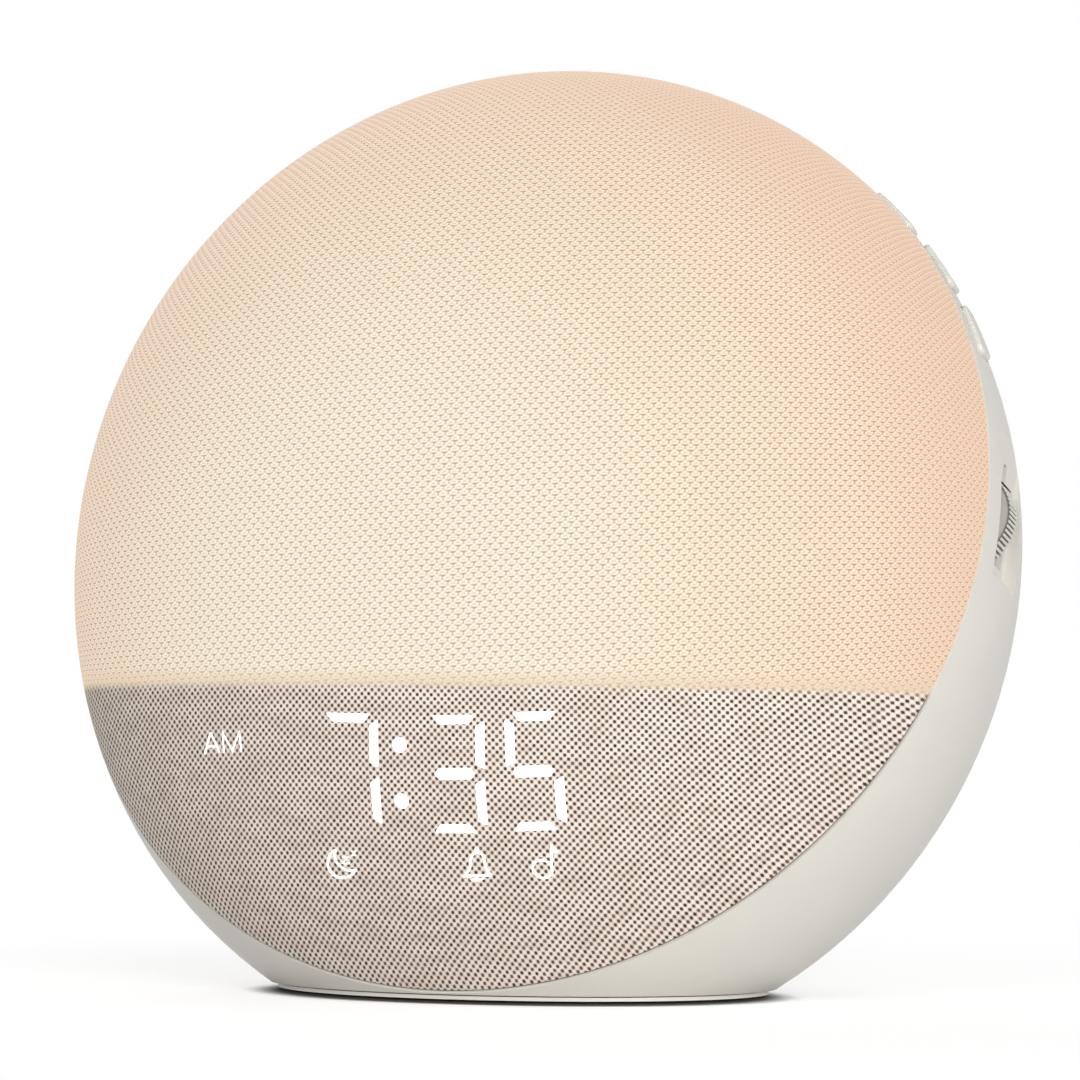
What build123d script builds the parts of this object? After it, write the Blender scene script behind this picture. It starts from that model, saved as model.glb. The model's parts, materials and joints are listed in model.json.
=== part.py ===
from build123d import *
from math import cos, radians, sin, sqrt, tan
import os

# Sunrise alarm clock: a flattened round body that stands on a flat foot and leans back.
# Millimetres, +Z up, -Y to the front. The origin is on the table, under the middle of the body.

# ---------------------------------------------------------------- driving dimensions
HALF_WIDTH = 95.0  # outer form: a spheroid, this half size across and up
HALF_DEPTH = 61.7  # and this half size along its short axis
CENTRE_HEIGHT = 81.2  # middle of the form above the table
AXIS_TILT = 10.0  # the short axis points forward and this many degrees up
SEAM_TILT = 21.3  # the seam between cloth and housing leans back by this
SEAM_OFFSET = 9.65  # and passes this far in front of the middle
SEAM_GAP = 0.4

WALL = 2.5  # housing
CLOTH = 0.8
DOME_OUTER = 0.9  # insets of the front shell from the outer form
DOME_INNER = 2.9
CLEAR = 0.3

PARTITION_LEVEL = -24.9  # top of the light baffle below the middle, measured at y = 0
PARTITION_RISE = 2.4  # degrees, rising to the front
BAFFLE = 1.6

BOARD = 1.6  # thickness of every circuit board
SCREW_R = 1.5
PILOT_R = 1.55

# ---------------------------------------------------------------- frames of reference
centre = Vector(0, 0, CENTRE_HEIGHT)
short_dir = Vector(0, -cos(radians(AXIS_TILT)), sin(radians(AXIS_TILT)))
tall_dir = Vector(0, sin(radians(AXIS_TILT)), cos(radians(AXIS_TILT)))
seam_dir = Vector(0, -cos(radians(SEAM_TILT)), sin(radians(SEAM_TILT)))
seam_up = Vector(0, sin(radians(SEAM_TILT)), cos(radians(SEAM_TILT)))
across = Vector(1, 0, 0)

meridian = Plane(origin=centre, x_dir=across, z_dir=tall_dir * -1)
seam_plane = Plane(origin=centre + seam_dir * SEAM_OFFSET, x_dir=across, z_dir=seam_dir)
side_plane = Plane(origin=seam_plane.origin, x_dir=seam_up, z_dir=across)
partition_plane = Plane(
    origin=centre + Vector(0, 0, PARTITION_LEVEL),
    x_dir=across,
    z_dir=Vector(0, sin(radians(PARTITION_RISE)), cos(radians(PARTITION_RISE))),
)


def form_product(a, b):
    """Inner product in which the outer form is the unit ball."""
    level = (a.X * b.X + a.dot(tall_dir) * b.dot(tall_dir)) / HALF_WIDTH**2
    return level + a.dot(short_dir) * b.dot(short_dir) / HALF_DEPTH**2


def surface_point(start, direction):
    """Where a ray from inside meets the outer form."""
    offset = start - centre
    a = form_product(direction, direction)
    b = form_product(offset, direction)
    c = form_product(offset, offset) - 1
    return start + direction * ((-b + sqrt(b * b - a * c)) / a)


def surface_normal(point):
    offset = point - centre
    level = Vector(offset.X, 0, 0) + tall_dir * offset.dot(tall_dir)
    return (level * (1 / HALF_WIDTH**2) + short_dir * (offset.dot(short_dir) / HALF_DEPTH**2)).normalized()


def seam_point(x, up, front):
    """A place given across, up along the seam plane and in front of it."""
    return seam_plane.from_local_coords((x, up, front))


def level_section(height, inset):
    """Middle y and the two half sizes of the form, cut level at a height above the table."""
    below = height - CENTRE_HEIGHT
    tall = HALF_WIDTH - inset
    deep = HALF_DEPTH - inset
    squared = (tall * cos(radians(AXIS_TILT))) ** 2 + (deep * sin(radians(AXIS_TILT))) ** 2
    lean = sin(radians(AXIS_TILT)) * cos(radians(AXIS_TILT)) * (tall**2 - deep**2)
    share = sqrt(1 - below**2 / squared)
    return lean / squared * below, tall * share, tall * deep / sqrt(squared) * share


# ---------------------------------------------------------------- shells of the outer form
POLE_FLAT = 1.0  # radius of the small flat at each end of the short axis, 0.003 deep


def spheroid(inset):
    """The outer form, made smaller by an inset (or larger by a negative one)."""
    wide = HALF_WIDTH - inset
    deep = HALF_DEPTH - inset
    flat_to_flat = 2 * deep * sqrt(1 - (POLE_FLAT / wide) ** 2)
    with BuildPart() as form:
        with BuildSketch(meridian):
            Ellipse(wide, deep)
            Rectangle(2 * wide, flat_to_flat, align=(Align.MIN, Align.CENTER), mode=Mode.INTERSECT)
        revolve(axis=Axis(centre, short_dir))
    return form.part


def front_shell(outer, inner):
    """The form between two insets, in front of the seam."""
    with BuildPart() as shell:
        add(spheroid(outer))
        split(bisect_by=seam_plane.offset(SEAM_GAP), keep=Keep.TOP)
        add(spheroid(inner), mode=Mode.SUBTRACT)
    return shell.part


def seam_slice(inset, low, high):
    """An inset form between two distances in front of the seam."""
    with BuildPart() as piece:
        add(spheroid_of[inset])
        split(bisect_by=seam_plane.offset(low), keep=Keep.TOP)
        split(bisect_by=seam_plane.offset(high), keep=Keep.BOTTOM)
    return piece.part


SKIN = 1.0  # inner fittings stop this far inside the outer surface
CHASSIS_INSET = 3.2
BAFFLE_INSET = 3.2
LIP_INSET = 5.2
REFLECTOR_INSET = 5.6
PLATE_INSET = WALL + CLEAR
KEY_PROUD = 0.9
INSETS = (0, DOME_OUTER, WALL, SKIN, CHASSIS_INSET, LIP_INSET)
spheroid_of = {inset: spheroid(inset) for inset in INSETS + (REFLECTOR_INSET, PLATE_INSET, -KEY_PROUD)}

DEEP = 80.0  # further than anything inside is long


def save(part, name):
    part.label = name
    export_step(part, f"parts/{name}.step")


def turned_over(plane):
    """The same plane seen from behind: x stays, y changes sign."""
    return Plane(origin=plane.origin, x_dir=plane.x_dir, z_dir=plane.z_dir * -1)


def screws(plane, places, length, head_r=2.7, head=1.5):
    """Pan-head screws: heads on the plane, shanks against its direction, with a cross recess."""
    with BuildPart() as group:
        with BuildSketch(plane):
            with Locations(*places):
                Circle(head_r)
        extrude(amount=head)
        with BuildSketch(plane):
            with Locations(*places):
                Circle(SCREW_R)
        extrude(amount=-length)
        with BuildSketch(plane.offset(head)):
            with Locations(*places):
                Rectangle(1.2 * head_r, 0.5)
                Rectangle(0.5, 1.2 * head_r)
        extrude(amount=-0.6 * head, mode=Mode.SUBTRACT)
    return group.part


def arc_radii(points):
    """The radius at each corner of a path, as large as its two straight runs allow."""
    radii = []
    for before, corner, after in zip(points, points[1:], points[2:]):
        first = corner - before
        second = after - corner
        turn = radians(first.get_angle(second))
        radii.append(0.45 * min(first.length, second.length) / tan(turn / 2))
    return radii


def lead(points, radius):
    """A round lead on straight runs joined by arcs."""
    arcs = arc_radii(points)
    with BuildPart() as run:
        with BuildLine() as path:
            FilletPolyline(*points, radius=arcs)
        with BuildSketch(Plane(origin=points[0], z_dir=points[1] - points[0])):
            Circle(radius)
        sweep()
    length = sum(edge.length for edge in path.edges())
    share = run.part.volume / (length * 3.14159 * radius**2)
    print("lead", round(length, 1), "mm, arcs", [round(arc, 1) for arc in arcs])
    print("volume share", round(share, 3))
    return run.part


# ---------------------------------------------------------------- display layout, on a plane at its middle
DISPLAY_DROP = 38.4  # middle of the digits below the middle of the form
DIGIT_CENTRES = (-24.2, -9.4, 11.5, 26.3)
DIGIT_LEVEL = -0.35
HALF_DIGIT = 10.15  # bar centre to bar centre, halved
STROKE_OFFSET = 4.8  # upright strokes either side of the digit's middle
BAR_HALF = 4.35
UPRIGHT_HALF = 4.65
STROKE = 1.9
DIGIT_LEAN = 0.06  # sideways per unit up
COLON = ((0.8, 5.1), (0.8, -5.4))
COLON_R = 1.3
SIGN_WINDOWS = ((-38.1, 3.7, 5.6, 3.0), (-38.1, -4.8, 5.6, 3.0))  # x, y, half width, half height
ICONS = ((-13.9, -17.8), (13.5, -17.6), (26.3, -17.2))
ICON_R = 3.9
WINDOW_MARGIN = 0.12

display_point = surface_point(centre + Vector(0, 0, -DISPLAY_DROP), Vector(0, -1, 0))
display_plane = Plane(origin=display_point, x_dir=across, z_dir=surface_normal(display_point))


def draw_stroke(x, y, half_length, upright, grow):
    """A bar with pointed ends, leaning with the digits."""
    half = STROKE / 2 + grow
    long = half_length + grow
    outline = [(-long, 0), (-long + half, half), (long - half, half), (long, 0)]
    outline += [(long - half, -half), (-long + half, -half)]
    if upright:
        outline = [(-b, a) for a, b in outline]
    placed = [(x + a + DIGIT_LEAN * (y + b), y + b) for a, b in outline]
    Polygon(*placed, align=None)


def draw_display(grow):
    """All the windows of the display: four digits, the colon, two signs and three icons."""
    for x in DIGIT_CENTRES:
        for row in (-1, 0, 1):
            draw_stroke(x, DIGIT_LEVEL + row * HALF_DIGIT, BAR_HALF, False, grow)
        for side in (-1, 1):
            for row in (-1, 1):
                middle = DIGIT_LEVEL + row * HALF_DIGIT / 2
                draw_stroke(x + side * STROKE_OFFSET, middle, UPRIGHT_HALF, True, grow)
    with Locations(*COLON):
        Circle(COLON_R + grow)
    for x, y, half_width, half_height in SIGN_WINDOWS:
        with Locations((x, y)):
            RectangleRounded(2 * (half_width + grow), 2 * (half_height + grow), 0.8)
    with Locations(*ICONS):
        Circle(ICON_R + grow)


# ================================================================ front
with BuildPart() as front_fabric:
    add(front_shell(0, CLOTH))
save(front_fabric.part, "front_fabric")

with BuildPart() as diffuser_dome:
    add(front_shell(DOME_OUTER, DOME_INNER))
    split(bisect_by=partition_plane, keep=Keep.TOP)
save(diffuser_dome.part, "diffuser_dome")

# The dark lower shell has a window for each lit shape of the display.
with BuildPart() as lower_panel:
    add(front_shell(DOME_OUTER, DOME_INNER))
    split(bisect_by=partition_plane.offset(-0.2), keep=Keep.BOTTOM)
    with BuildSketch(display_plane.offset(-DEEP / 4)):
        draw_display(WINDOW_MARGIN)
    extrude(amount=DEEP / 2, mode=Mode.SUBTRACT)
save(lower_panel.part, "lower_panel")

# ---------------------------------------------------------------- chassis: bulkhead, lip and seam flange
PLATE_TOP = 4.4  # inside face of the base plate
BULKHEAD_BACK = -1.6
LIP_FRONT = 5.0
FLANGE_INSET = SKIN
CHASSIS_SCREW_RADIUS = 80.0
CHASSIS_SCREW_ANGLES = (80, 160, 225, 315)
chassis_screw_places = [
    (CHASSIS_SCREW_RADIUS * cos(radians(a)), CHASSIS_SCREW_RADIUS * sin(radians(a)))
    for a in CHASSIS_SCREW_ANGLES
]
MAIN_BOARD_FRONT = -8.6
MAIN_BOARD_BACK = MAIN_BOARD_FRONT - BOARD
MAIN_BOARD_SIZE = (94, 62)
MAIN_BOARD_LEVEL = -5.0
main_screw_places = [(x, MAIN_BOARD_LEVEL + y) for x in (-43, 43) for y in (-27, 27)]
LED_BOARD_BACK = 1.4
LED_BOARD_FRONT = LED_BOARD_BACK + BOARD
LED_BOARD_LEVEL = 18.0
LED_BOARD_SIZE = (124, 74)
led_screw_places = [(x, LED_BOARD_LEVEL + y) for x in (-57, 57) for y in (-28, 28)]
RIBBON_HOLE = (0, -43, 16, 9)  # x, up, width, height
HEADER = (26, -14, 10.2, 2.6)

with BuildPart() as chassis:
    add(seam_slice(CHASSIS_INSET, BULKHEAD_BACK, LIP_FRONT))
    add(seam_slice(LIP_INSET, SEAM_GAP, LIP_FRONT), mode=Mode.SUBTRACT)
    add(seam_slice(FLANGE_INSET, 0, SEAM_GAP))
    with BuildSketch(seam_plane.offset(BULKHEAD_BACK)):
        with Locations(*main_screw_places):
            Circle(3.2)
    extrude(amount=MAIN_BOARD_FRONT - BULKHEAD_BACK)
    with BuildSketch(seam_plane.offset(SEAM_GAP)):
        with Locations(*led_screw_places):
            Circle(3.2)
    extrude(amount=LED_BOARD_BACK - SEAM_GAP)
    with BuildSketch(seam_plane.offset(LIP_FRONT)):
        with Locations(*chassis_screw_places):
            Circle(SCREW_R + 0.2)
        with Locations(RIBBON_HOLE[:2]):
            Rectangle(*RIBBON_HOLE[2:])
        with Locations(HEADER[:2]):
            Rectangle(HEADER[2] + 1, HEADER[3] + 1)
    extrude(amount=-DEEP, mode=Mode.SUBTRACT)
    with BuildSketch(seam_plane.offset(MAIN_BOARD_FRONT)):
        with Locations(*main_screw_places):
            Circle(PILOT_R)
    extrude(amount=6, mode=Mode.SUBTRACT)
    with BuildSketch(seam_plane.offset(LED_BOARD_BACK)):
        with Locations(*led_screw_places):
            Circle(PILOT_R)
    extrude(amount=-DEEP, mode=Mode.SUBTRACT)
    split(bisect_by=Plane.XY.offset(PLATE_TOP + CLEAR), keep=Keep.TOP)
save(chassis.part, "chassis")
save(screws(seam_plane.offset(SEAM_GAP), chassis_screw_places, 12), "chassis_screws")

with BuildPart() as light_baffle:
    add(spheroid_of[BAFFLE_INSET])
    split(bisect_by=partition_plane, keep=Keep.BOTTOM)
    split(bisect_by=partition_plane.offset(-BAFFLE), keep=Keep.TOP)
    split(bisect_by=seam_plane.offset(LIP_FRONT + 0.2), keep=Keep.TOP)
save(light_baffle.part, "light_baffle")

# ---------------------------------------------------------------- light engine
REFLECTOR_BACK = 3.6
REFLECTOR = 1.2
LED_SIZE = 3.5
LED_HEIGHT = 1.4
LED_PITCH = (20, 16)
LED_COUNT = (6, 5)
led_columns = [LED_PITCH[0] * (i - (LED_COUNT[0] - 1) / 2) for i in range(LED_COUNT[0])]
led_rows = [LED_BOARD_LEVEL + LED_PITCH[1] * (j - (LED_COUNT[1] - 1) / 2) for j in range(LED_COUNT[1])]
led_spots = [(x, y) for x in led_columns for y in led_rows]

with BuildPart() as led_board:
    with BuildSketch(seam_plane.offset(LED_BOARD_BACK)):
        with Locations((0, LED_BOARD_LEVEL)):
            RectangleRounded(*LED_BOARD_SIZE, 8)
        with Locations(*led_screw_places):
            Circle(SCREW_R + 0.1, mode=Mode.SUBTRACT)
    extrude(amount=BOARD)
save(led_board.part, "led_board")

with BuildPart() as led_emitters:
    with BuildSketch(seam_plane.offset(LED_BOARD_FRONT)):
        with Locations(*led_spots):
            Rectangle(LED_SIZE, LED_SIZE)
    extrude(amount=LED_HEIGHT)
save(led_emitters.part, "led_emitters")
save(screws(seam_plane.offset(LED_BOARD_FRONT), led_screw_places, 3, 2.6, 1.2), "led_board_screws")

with BuildPart() as light_reflector:
    add(seam_slice(REFLECTOR_INSET, REFLECTOR_BACK, REFLECTOR_BACK + REFLECTOR))
    split(bisect_by=partition_plane.offset(CLEAR), keep=Keep.TOP)
    with BuildSketch(seam_plane.offset(REFLECTOR_BACK)):
        with Locations(*led_spots):
            Rectangle(LED_SIZE + 0.9, LED_SIZE + 0.9)
        with Locations(*led_screw_places):
            Circle(3.2)
        with Locations(*chassis_screw_places):
            Circle(3.4)
    extrude(amount=REFLECTOR, mode=Mode.SUBTRACT)
save(light_reflector.part, "light_reflector")

# A pin header joins the lamp board to the main board through the bulkhead.
with BuildPart() as led_header:
    with BuildSketch(seam_plane.offset(LED_BOARD_BACK)):
        with Locations(HEADER[:2]):
            Rectangle(*HEADER[2:])
    extrude(amount=MAIN_BOARD_FRONT - LED_BOARD_BACK)
save(led_header.part, "led_header")

# ---------------------------------------------------------------- display
FRAME_BACK = -14.0
FRAME_BOX = (-48, 38, -21.6, 13.0)  # left, right, bottom, top
GUIDE_BACK = FRAME_BACK + 0.8
DISPLAY_BOARD_BOX = (-42, 33, -21.0, 11.6)
LEG_PLACES = [(x, y) for x in (-45, 35.6) for y in (-11, 4)]
DISPLAY_LED = (1.6, 0.8, 0.6)


def box_sketch(left, right, bottom, top):
    with Locations(((left + right) / 2, (bottom + top) / 2)):
        Rectangle(right - left, top - bottom)


with BuildPart() as display_frame:
    with BuildSketch(display_plane.offset(FRAME_BACK)):
        box_sketch(*FRAME_BOX)
    extrude(amount=-FRAME_BACK)
    add(spheroid_of[CHASSIS_INSET], mode=Mode.INTERSECT)
    with BuildSketch(display_plane.offset(FRAME_BACK)):
        with Locations(*LEG_PLACES):
            Circle(2.2)
    extrude(amount=-DEEP / 2)
    split(bisect_by=seam_plane.offset(SEAM_GAP), keep=Keep.TOP)
    split(bisect_by=partition_plane.offset(-BAFFLE - 0.2), keep=Keep.BOTTOM)
    with BuildSketch(display_plane.offset(FRAME_BACK)):
        draw_display(WINDOW_MARGIN)
    extrude(amount=-FRAME_BACK, mode=Mode.SUBTRACT)
save(display_frame.part, "display_frame")

with BuildPart() as display_guides:
    with BuildSketch(display_plane.offset(GUIDE_BACK)):
        draw_display(0)
    extrude(amount=-GUIDE_BACK + 2)
    add(spheroid_of[DOME_OUTER], mode=Mode.INTERSECT)
save(display_guides.part, "display_guides")

with BuildPart() as display_board:
    with BuildSketch(display_plane.offset(FRAME_BACK)):
        box_sketch(*DISPLAY_BOARD_BOX)
    extrude(amount=-BOARD)
    split(bisect_by=partition_plane.offset(-BAFFLE - 0.3), keep=Keep.BOTTOM)
    add(spheroid_of[CHASSIS_INSET], mode=Mode.INTERSECT)
save(display_board.part, "display_board")

with BuildPart() as display_leds:
    with BuildSketch(display_plane.offset(FRAME_BACK)):
        for digit_x in DIGIT_CENTRES:
            with Locations(*[(digit_x + DIGIT_LEAN * y, y) for y in (-10.4, -0.35, 9.6)]):
                Rectangle(DISPLAY_LED[0], DISPLAY_LED[1])
            for stroke_x in (digit_x - STROKE_OFFSET, digit_x + STROKE_OFFSET):
                with Locations(*[(stroke_x + DIGIT_LEAN * y, y) for y in (-5.4, 4.7)]):
                    Rectangle(DISPLAY_LED[1], DISPLAY_LED[0])
        with Locations(*COLON, *[window[:2] for window in SIGN_WINDOWS], *ICONS):
            Rectangle(DISPLAY_LED[0], DISPLAY_LED[1])
    extrude(amount=DISPLAY_LED[2])
save(display_leds.part, "display_leds")

# The ribbon runs from the display board, through the bulkhead, to the back of the main board.
RIBBON_WIDTH = 12.0
RIBBON_THICK = 0.3
ribbon_start = side_plane.to_local_coords(display_plane.from_local_coords((0, -3, FRAME_BACK - BOARD)))
ribbon_next = side_plane.to_local_coords(display_plane.from_local_coords((0, -3, FRAME_BACK - BOARD - 7)))
ribbon_corners = [(-44.5, 3.5), (-43.6, -5.5), (-41.2, -11.4), (-36.8, -12.3), (-32.4, -12.1)]
ribbon_points = [Vector(p.X, p.Y) for p in (ribbon_start, ribbon_next)] + [Vector(*p) for p in ribbon_corners]
ribbon_arcs = arc_radii(ribbon_points)
print("ribbon arcs", [round(arc, 1) for arc in ribbon_arcs])
with BuildPart() as display_ribbon:
    with BuildLine(side_plane) as ribbon_path:
        FilletPolyline(*[(p.X, p.Y) for p in ribbon_points], radius=ribbon_arcs)
    with BuildSketch(Plane(origin=ribbon_path.line @ 0, x_dir=across, z_dir=ribbon_path.line % 0)):
        Rectangle(RIBBON_WIDTH, RIBBON_THICK)
    sweep()
save(display_ribbon.part, "display_ribbon")

# ================================================================ main board and what is on it
with BuildPart() as main_board:
    with BuildSketch(seam_plane.offset(MAIN_BOARD_FRONT)):
        with Locations((0, MAIN_BOARD_LEVEL)):
            RectangleRounded(*MAIN_BOARD_SIZE, 3)
        with Locations(*main_screw_places):
            Circle(SCREW_R + 0.1, mode=Mode.SUBTRACT)
    extrude(amount=-BOARD)
save(main_board.part, "main_board")
main_screw_plane = turned_over(seam_plane.offset(MAIN_BOARD_BACK))
save(screws(main_screw_plane, [(x, -y) for x, y in main_screw_places], 7), "main_board_screws")

board_back = seam_plane.offset(MAIN_BOARD_BACK)


def board_blocks(blocks, height):
    """Blocks on the back of the main board, each (x, up, width, height)."""
    with BuildPart() as group:
        with BuildSketch(board_back):
            for x, y, wide, high in blocks:
                with Locations((x, y)):
                    RectangleRounded(wide, high, 0.4)
        extrude(amount=-height)
    return group.part


CONNECTOR = 3.5
LEAD_PLACES = {"speaker": (-38, -18), "key": (38, 10), "dial": (38, -8), "power": (16, -28)}
save(board_blocks([(2, 12, 20, 16)], 2.4), "radio_module")
save(board_blocks([(-22, -2.5, 10, 10), (-24, -17, 8, 10), (26, -12, 7, 7)], 1.2), "board_chips")
connector_boxes = [(x, y, 6, 5) for x, y in LEAD_PLACES.values()] + [(0, -30.4, 14, 3.6)]
save(board_blocks(connector_boxes, CONNECTOR), "board_connectors")

with BuildPart() as board_capacitors:
    with BuildSketch(board_back):
        with Locations((26, 2), (26, -26), (-8, -18)):
            Circle(3.2)
    extrude(amount=-9)
    fillet(board_capacitors.faces().sort_by(Axis(centre, seam_dir))[0:3].edges(), 0.6)
save(board_capacitors.part, "board_capacitors")

CELL_PLACE = (-28, 17)
CELL_R = 10.0
CELL_THICK = 3.2
with BuildPart() as coin_cell_holder:
    with BuildSketch(board_back):
        with Locations(CELL_PLACE):
            Circle(CELL_R + 1.4)
    extrude(amount=-4.2)
    with BuildSketch(board_back.offset(-0.8)):
        with Locations(CELL_PLACE):
            Circle(CELL_R + 0.1)
    extrude(amount=-CELL_THICK - 0.6, mode=Mode.SUBTRACT)
save(coin_cell_holder.part, "coin_cell_holder")

with BuildPart() as coin_cell:
    with BuildSketch(board_back.offset(-0.85)):
        with Locations(CELL_PLACE):
            Circle(CELL_R)
    extrude(amount=-CELL_THICK)
    chamfer(coin_cell.edges(), 0.3)
save(coin_cell.part, "coin_cell")

# ================================================================ keys
KEY_ANGLES = {"lower_key": 27.7, "middle_key": 37.3, "upper_key": 46.9}
KEY_DEPTH = 5.75  # middle of the keys behind the seam
KEY_SIZE = (11.0, 5.5)
KEY_CORNER = 1.7
KEY_GAP = 0.25
KEY_TRAVEL = 0.5
STOP_DEPTH = 4.1  # flat inside face of the stop pads, below each key's place on the surface
KEY_FLANGE = (13.4, 6.9, 1.2)
PLUNGER_TOP = -9.0
SWITCH_TOP = -10.2
KEY_BOARD_TOP = -14.0
SWITCH = 6.0
PLUNGER_R = 1.7


def key_surface(angle):
    outward = across * cos(radians(angle)) + seam_up * sin(radians(angle))
    return surface_point(seam_point(0, 0, -KEY_DEPTH), outward)


middle_point = key_surface(KEY_ANGLES["middle_key"])
key_normal = surface_normal(middle_point)
key_plane = Plane(origin=middle_point, x_dir=seam_dir.cross(key_normal), z_dir=key_normal)
key_places = {name: key_plane.to_local_coords(key_surface(angle)) for name, angle in KEY_ANGLES.items()}
key_spots = [(p.X, p.Y) for p in key_places.values()]
KEY_BOARD_BOX = (-28.4, 29, -5.0, 2.8)
key_screw_places = [(-26, -1.2), (26, -1.2)]


def make_key(place):
    """A cap whose top follows the body, with a flange inside the wall and a stem to its switch."""
    flange_top = place.Z - STOP_DEPTH - 0.1
    with BuildPart() as key:
        with BuildSketch(key_plane.offset(flange_top)):
            with Locations((place.X, place.Y)):
                RectangleRounded(*KEY_SIZE, KEY_CORNER)
        extrude(amount=DEEP / 4)
        add(spheroid_of[-KEY_PROUD], mode=Mode.INTERSECT)
        fillet(key.faces().sort_by(Axis(middle_point, key_normal))[-1].edges(), 0.5)
        with BuildSketch(key_plane.offset(flange_top)):
            with Locations((place.X, place.Y)):
                RectangleRounded(KEY_FLANGE[0], KEY_FLANGE[1], KEY_CORNER)
        extrude(amount=-KEY_FLANGE[2])
        with BuildSketch(key_plane.offset(PLUNGER_TOP)):
            with Locations((place.X, place.Y)):
                Circle(PLUNGER_R)
        extrude(amount=flange_top - PLUNGER_TOP)
    return key.part


def make_plunger(place):
    with BuildPart() as plunger:
        with BuildSketch(key_plane.offset(PLUNGER_TOP)):
            with Locations((place.X, place.Y)):
                Circle(PLUNGER_R)
        extrude(amount=-2.9)
    return plunger.part


for name, place in key_places.items():
    save(make_key(place), name)
    save(make_plunger(place), name.replace("key", "plunger"))

with BuildPart() as tact_switches:
    with BuildSketch(key_plane.offset(SWITCH_TOP)):
        with Locations(*key_spots):
            RectangleRounded(SWITCH, SWITCH, 0.5)
    extrude(amount=KEY_BOARD_TOP - SWITCH_TOP)
    with BuildSketch(key_plane.offset(SWITCH_TOP)):
        with Locations(*key_spots):
            Circle(PLUNGER_R + 0.1)
    extrude(amount=-3.0, mode=Mode.SUBTRACT)
save(tact_switches.part, "tact_switches")

with BuildPart() as key_board:
    with BuildSketch(key_plane.offset(KEY_BOARD_TOP)):
        box_sketch(*KEY_BOARD_BOX)
        with Locations(*key_screw_places):
            Circle(SCREW_R + 0.1, mode=Mode.SUBTRACT)
    extrude(amount=-BOARD)
save(key_board.part, "key_board")
key_screw_plane = turned_over(key_plane.offset(KEY_BOARD_TOP - BOARD))
save(screws(key_screw_plane, [(x, -y) for x, y in key_screw_places], 7, 2.4, 1.2), "key_board_screws")

# ================================================================ dial
DIAL_PLACE = (84.7, 9.0)  # axle: across and up on the seam plane
DIAL_R = 9.5
DIAL_FRONT = -10.0
DIAL_THICK = 4.0
DIAL_RIBS = 64
RIB_CUT = (0.44, 0.5)  # width and depth of the grooves between ribs
SLOT = (-9.2, -14.8, -9.2)  # front, back, lower end below the axle
SLIT = (-11.0, 10.2)  # back and upper end of the narrow part above the wheel
RECESS = (-4.4, -16.2, -4.7, 40.0)  # front, back, bottom, top
RECESS_FLOOR = 91.8
POCKET_FACE = 89.6
BRACKET_FRONT = -16.2
BRACKET = 1.6
BRACKET_BOX = (76.5, 86.8, -10.2, 26.4)
dial_post_places = [(83.4, -6.6), (82.8, 22.9)]
SHAFT_R = 2.0
BUSHING_R = 2.9
ENCODER = (-7.0, 2.0, 5.5, 5.0)  # left and right of the shaft, half height, depth
ENCODER_BACK = BRACKET_FRONT - BRACKET - ENCODER[3]

dial_plane = Plane(origin=seam_point(*DIAL_PLACE, 0), x_dir=across, z_dir=seam_dir)

with BuildPart() as dial_wheel:
    with BuildSketch(dial_plane.offset(DIAL_FRONT)):
        Circle(DIAL_R)
        Circle(SHAFT_R + 0.01, mode=Mode.SUBTRACT)
    extrude(amount=-DIAL_THICK)
    chamfer(dial_wheel.edges().filter_by(GeomType.CIRCLE).group_by(SortBy.RADIUS)[-1], 0.35)
    with BuildSketch(dial_plane.offset(DIAL_FRONT)):
        with PolarLocations(DIAL_R, DIAL_RIBS):
            Rectangle(2 * RIB_CUT[1], RIB_CUT[0])
    extrude(amount=-DIAL_THICK, mode=Mode.SUBTRACT)
save(dial_wheel.part, "dial_wheel")

with BuildPart() as dial_shaft:
    with BuildSketch(dial_plane.offset(DIAL_FRONT)):
        Circle(SHAFT_R)
    extrude(amount=-11)
save(dial_shaft.part, "dial_shaft")

with BuildPart() as dial_encoder:
    with BuildSketch(dial_plane.offset(BRACKET_FRONT - BRACKET)):
        box_sketch(ENCODER[0], ENCODER[1], -ENCODER[2], ENCODER[2])
    extrude(amount=-ENCODER[3])
    with BuildSketch(dial_plane.offset(BRACKET_FRONT - BRACKET)):
        Circle(BUSHING_R)
    extrude(amount=BRACKET + 0.8)
    with BuildSketch(dial_plane.offset(DIAL_FRONT)):
        Circle(SHAFT_R + 0.05)
    extrude(amount=-11.4, mode=Mode.SUBTRACT)
save(dial_encoder.part, "dial_encoder")

with BuildPart() as dial_nut:
    with BuildSketch(dial_plane.offset(BRACKET_FRONT)):
        RegularPolygon(4.6, 6, rotation=30)
        Circle(BUSHING_R + 0.05, mode=Mode.SUBTRACT)
    extrude(amount=0.7)
save(dial_nut.part, "dial_nut")

with BuildPart() as dial_bracket:
    with BuildSketch(seam_plane.offset(BRACKET_FRONT)):
        box_sketch(*BRACKET_BOX)
        with Locations(DIAL_PLACE):
            Circle(BUSHING_R + 0.2, mode=Mode.SUBTRACT)
        with Locations(*dial_post_places):
            Circle(SCREW_R + 0.1, mode=Mode.SUBTRACT)
    extrude(amount=-BRACKET)
save(dial_bracket.part, "dial_bracket")
dial_screw_plane = turned_over(seam_plane.offset(BRACKET_FRONT - BRACKET))
save(screws(dial_screw_plane, [(x, -y) for x, y in dial_post_places], 7.5, 2.4, 1.2), "dial_screws")

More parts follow.
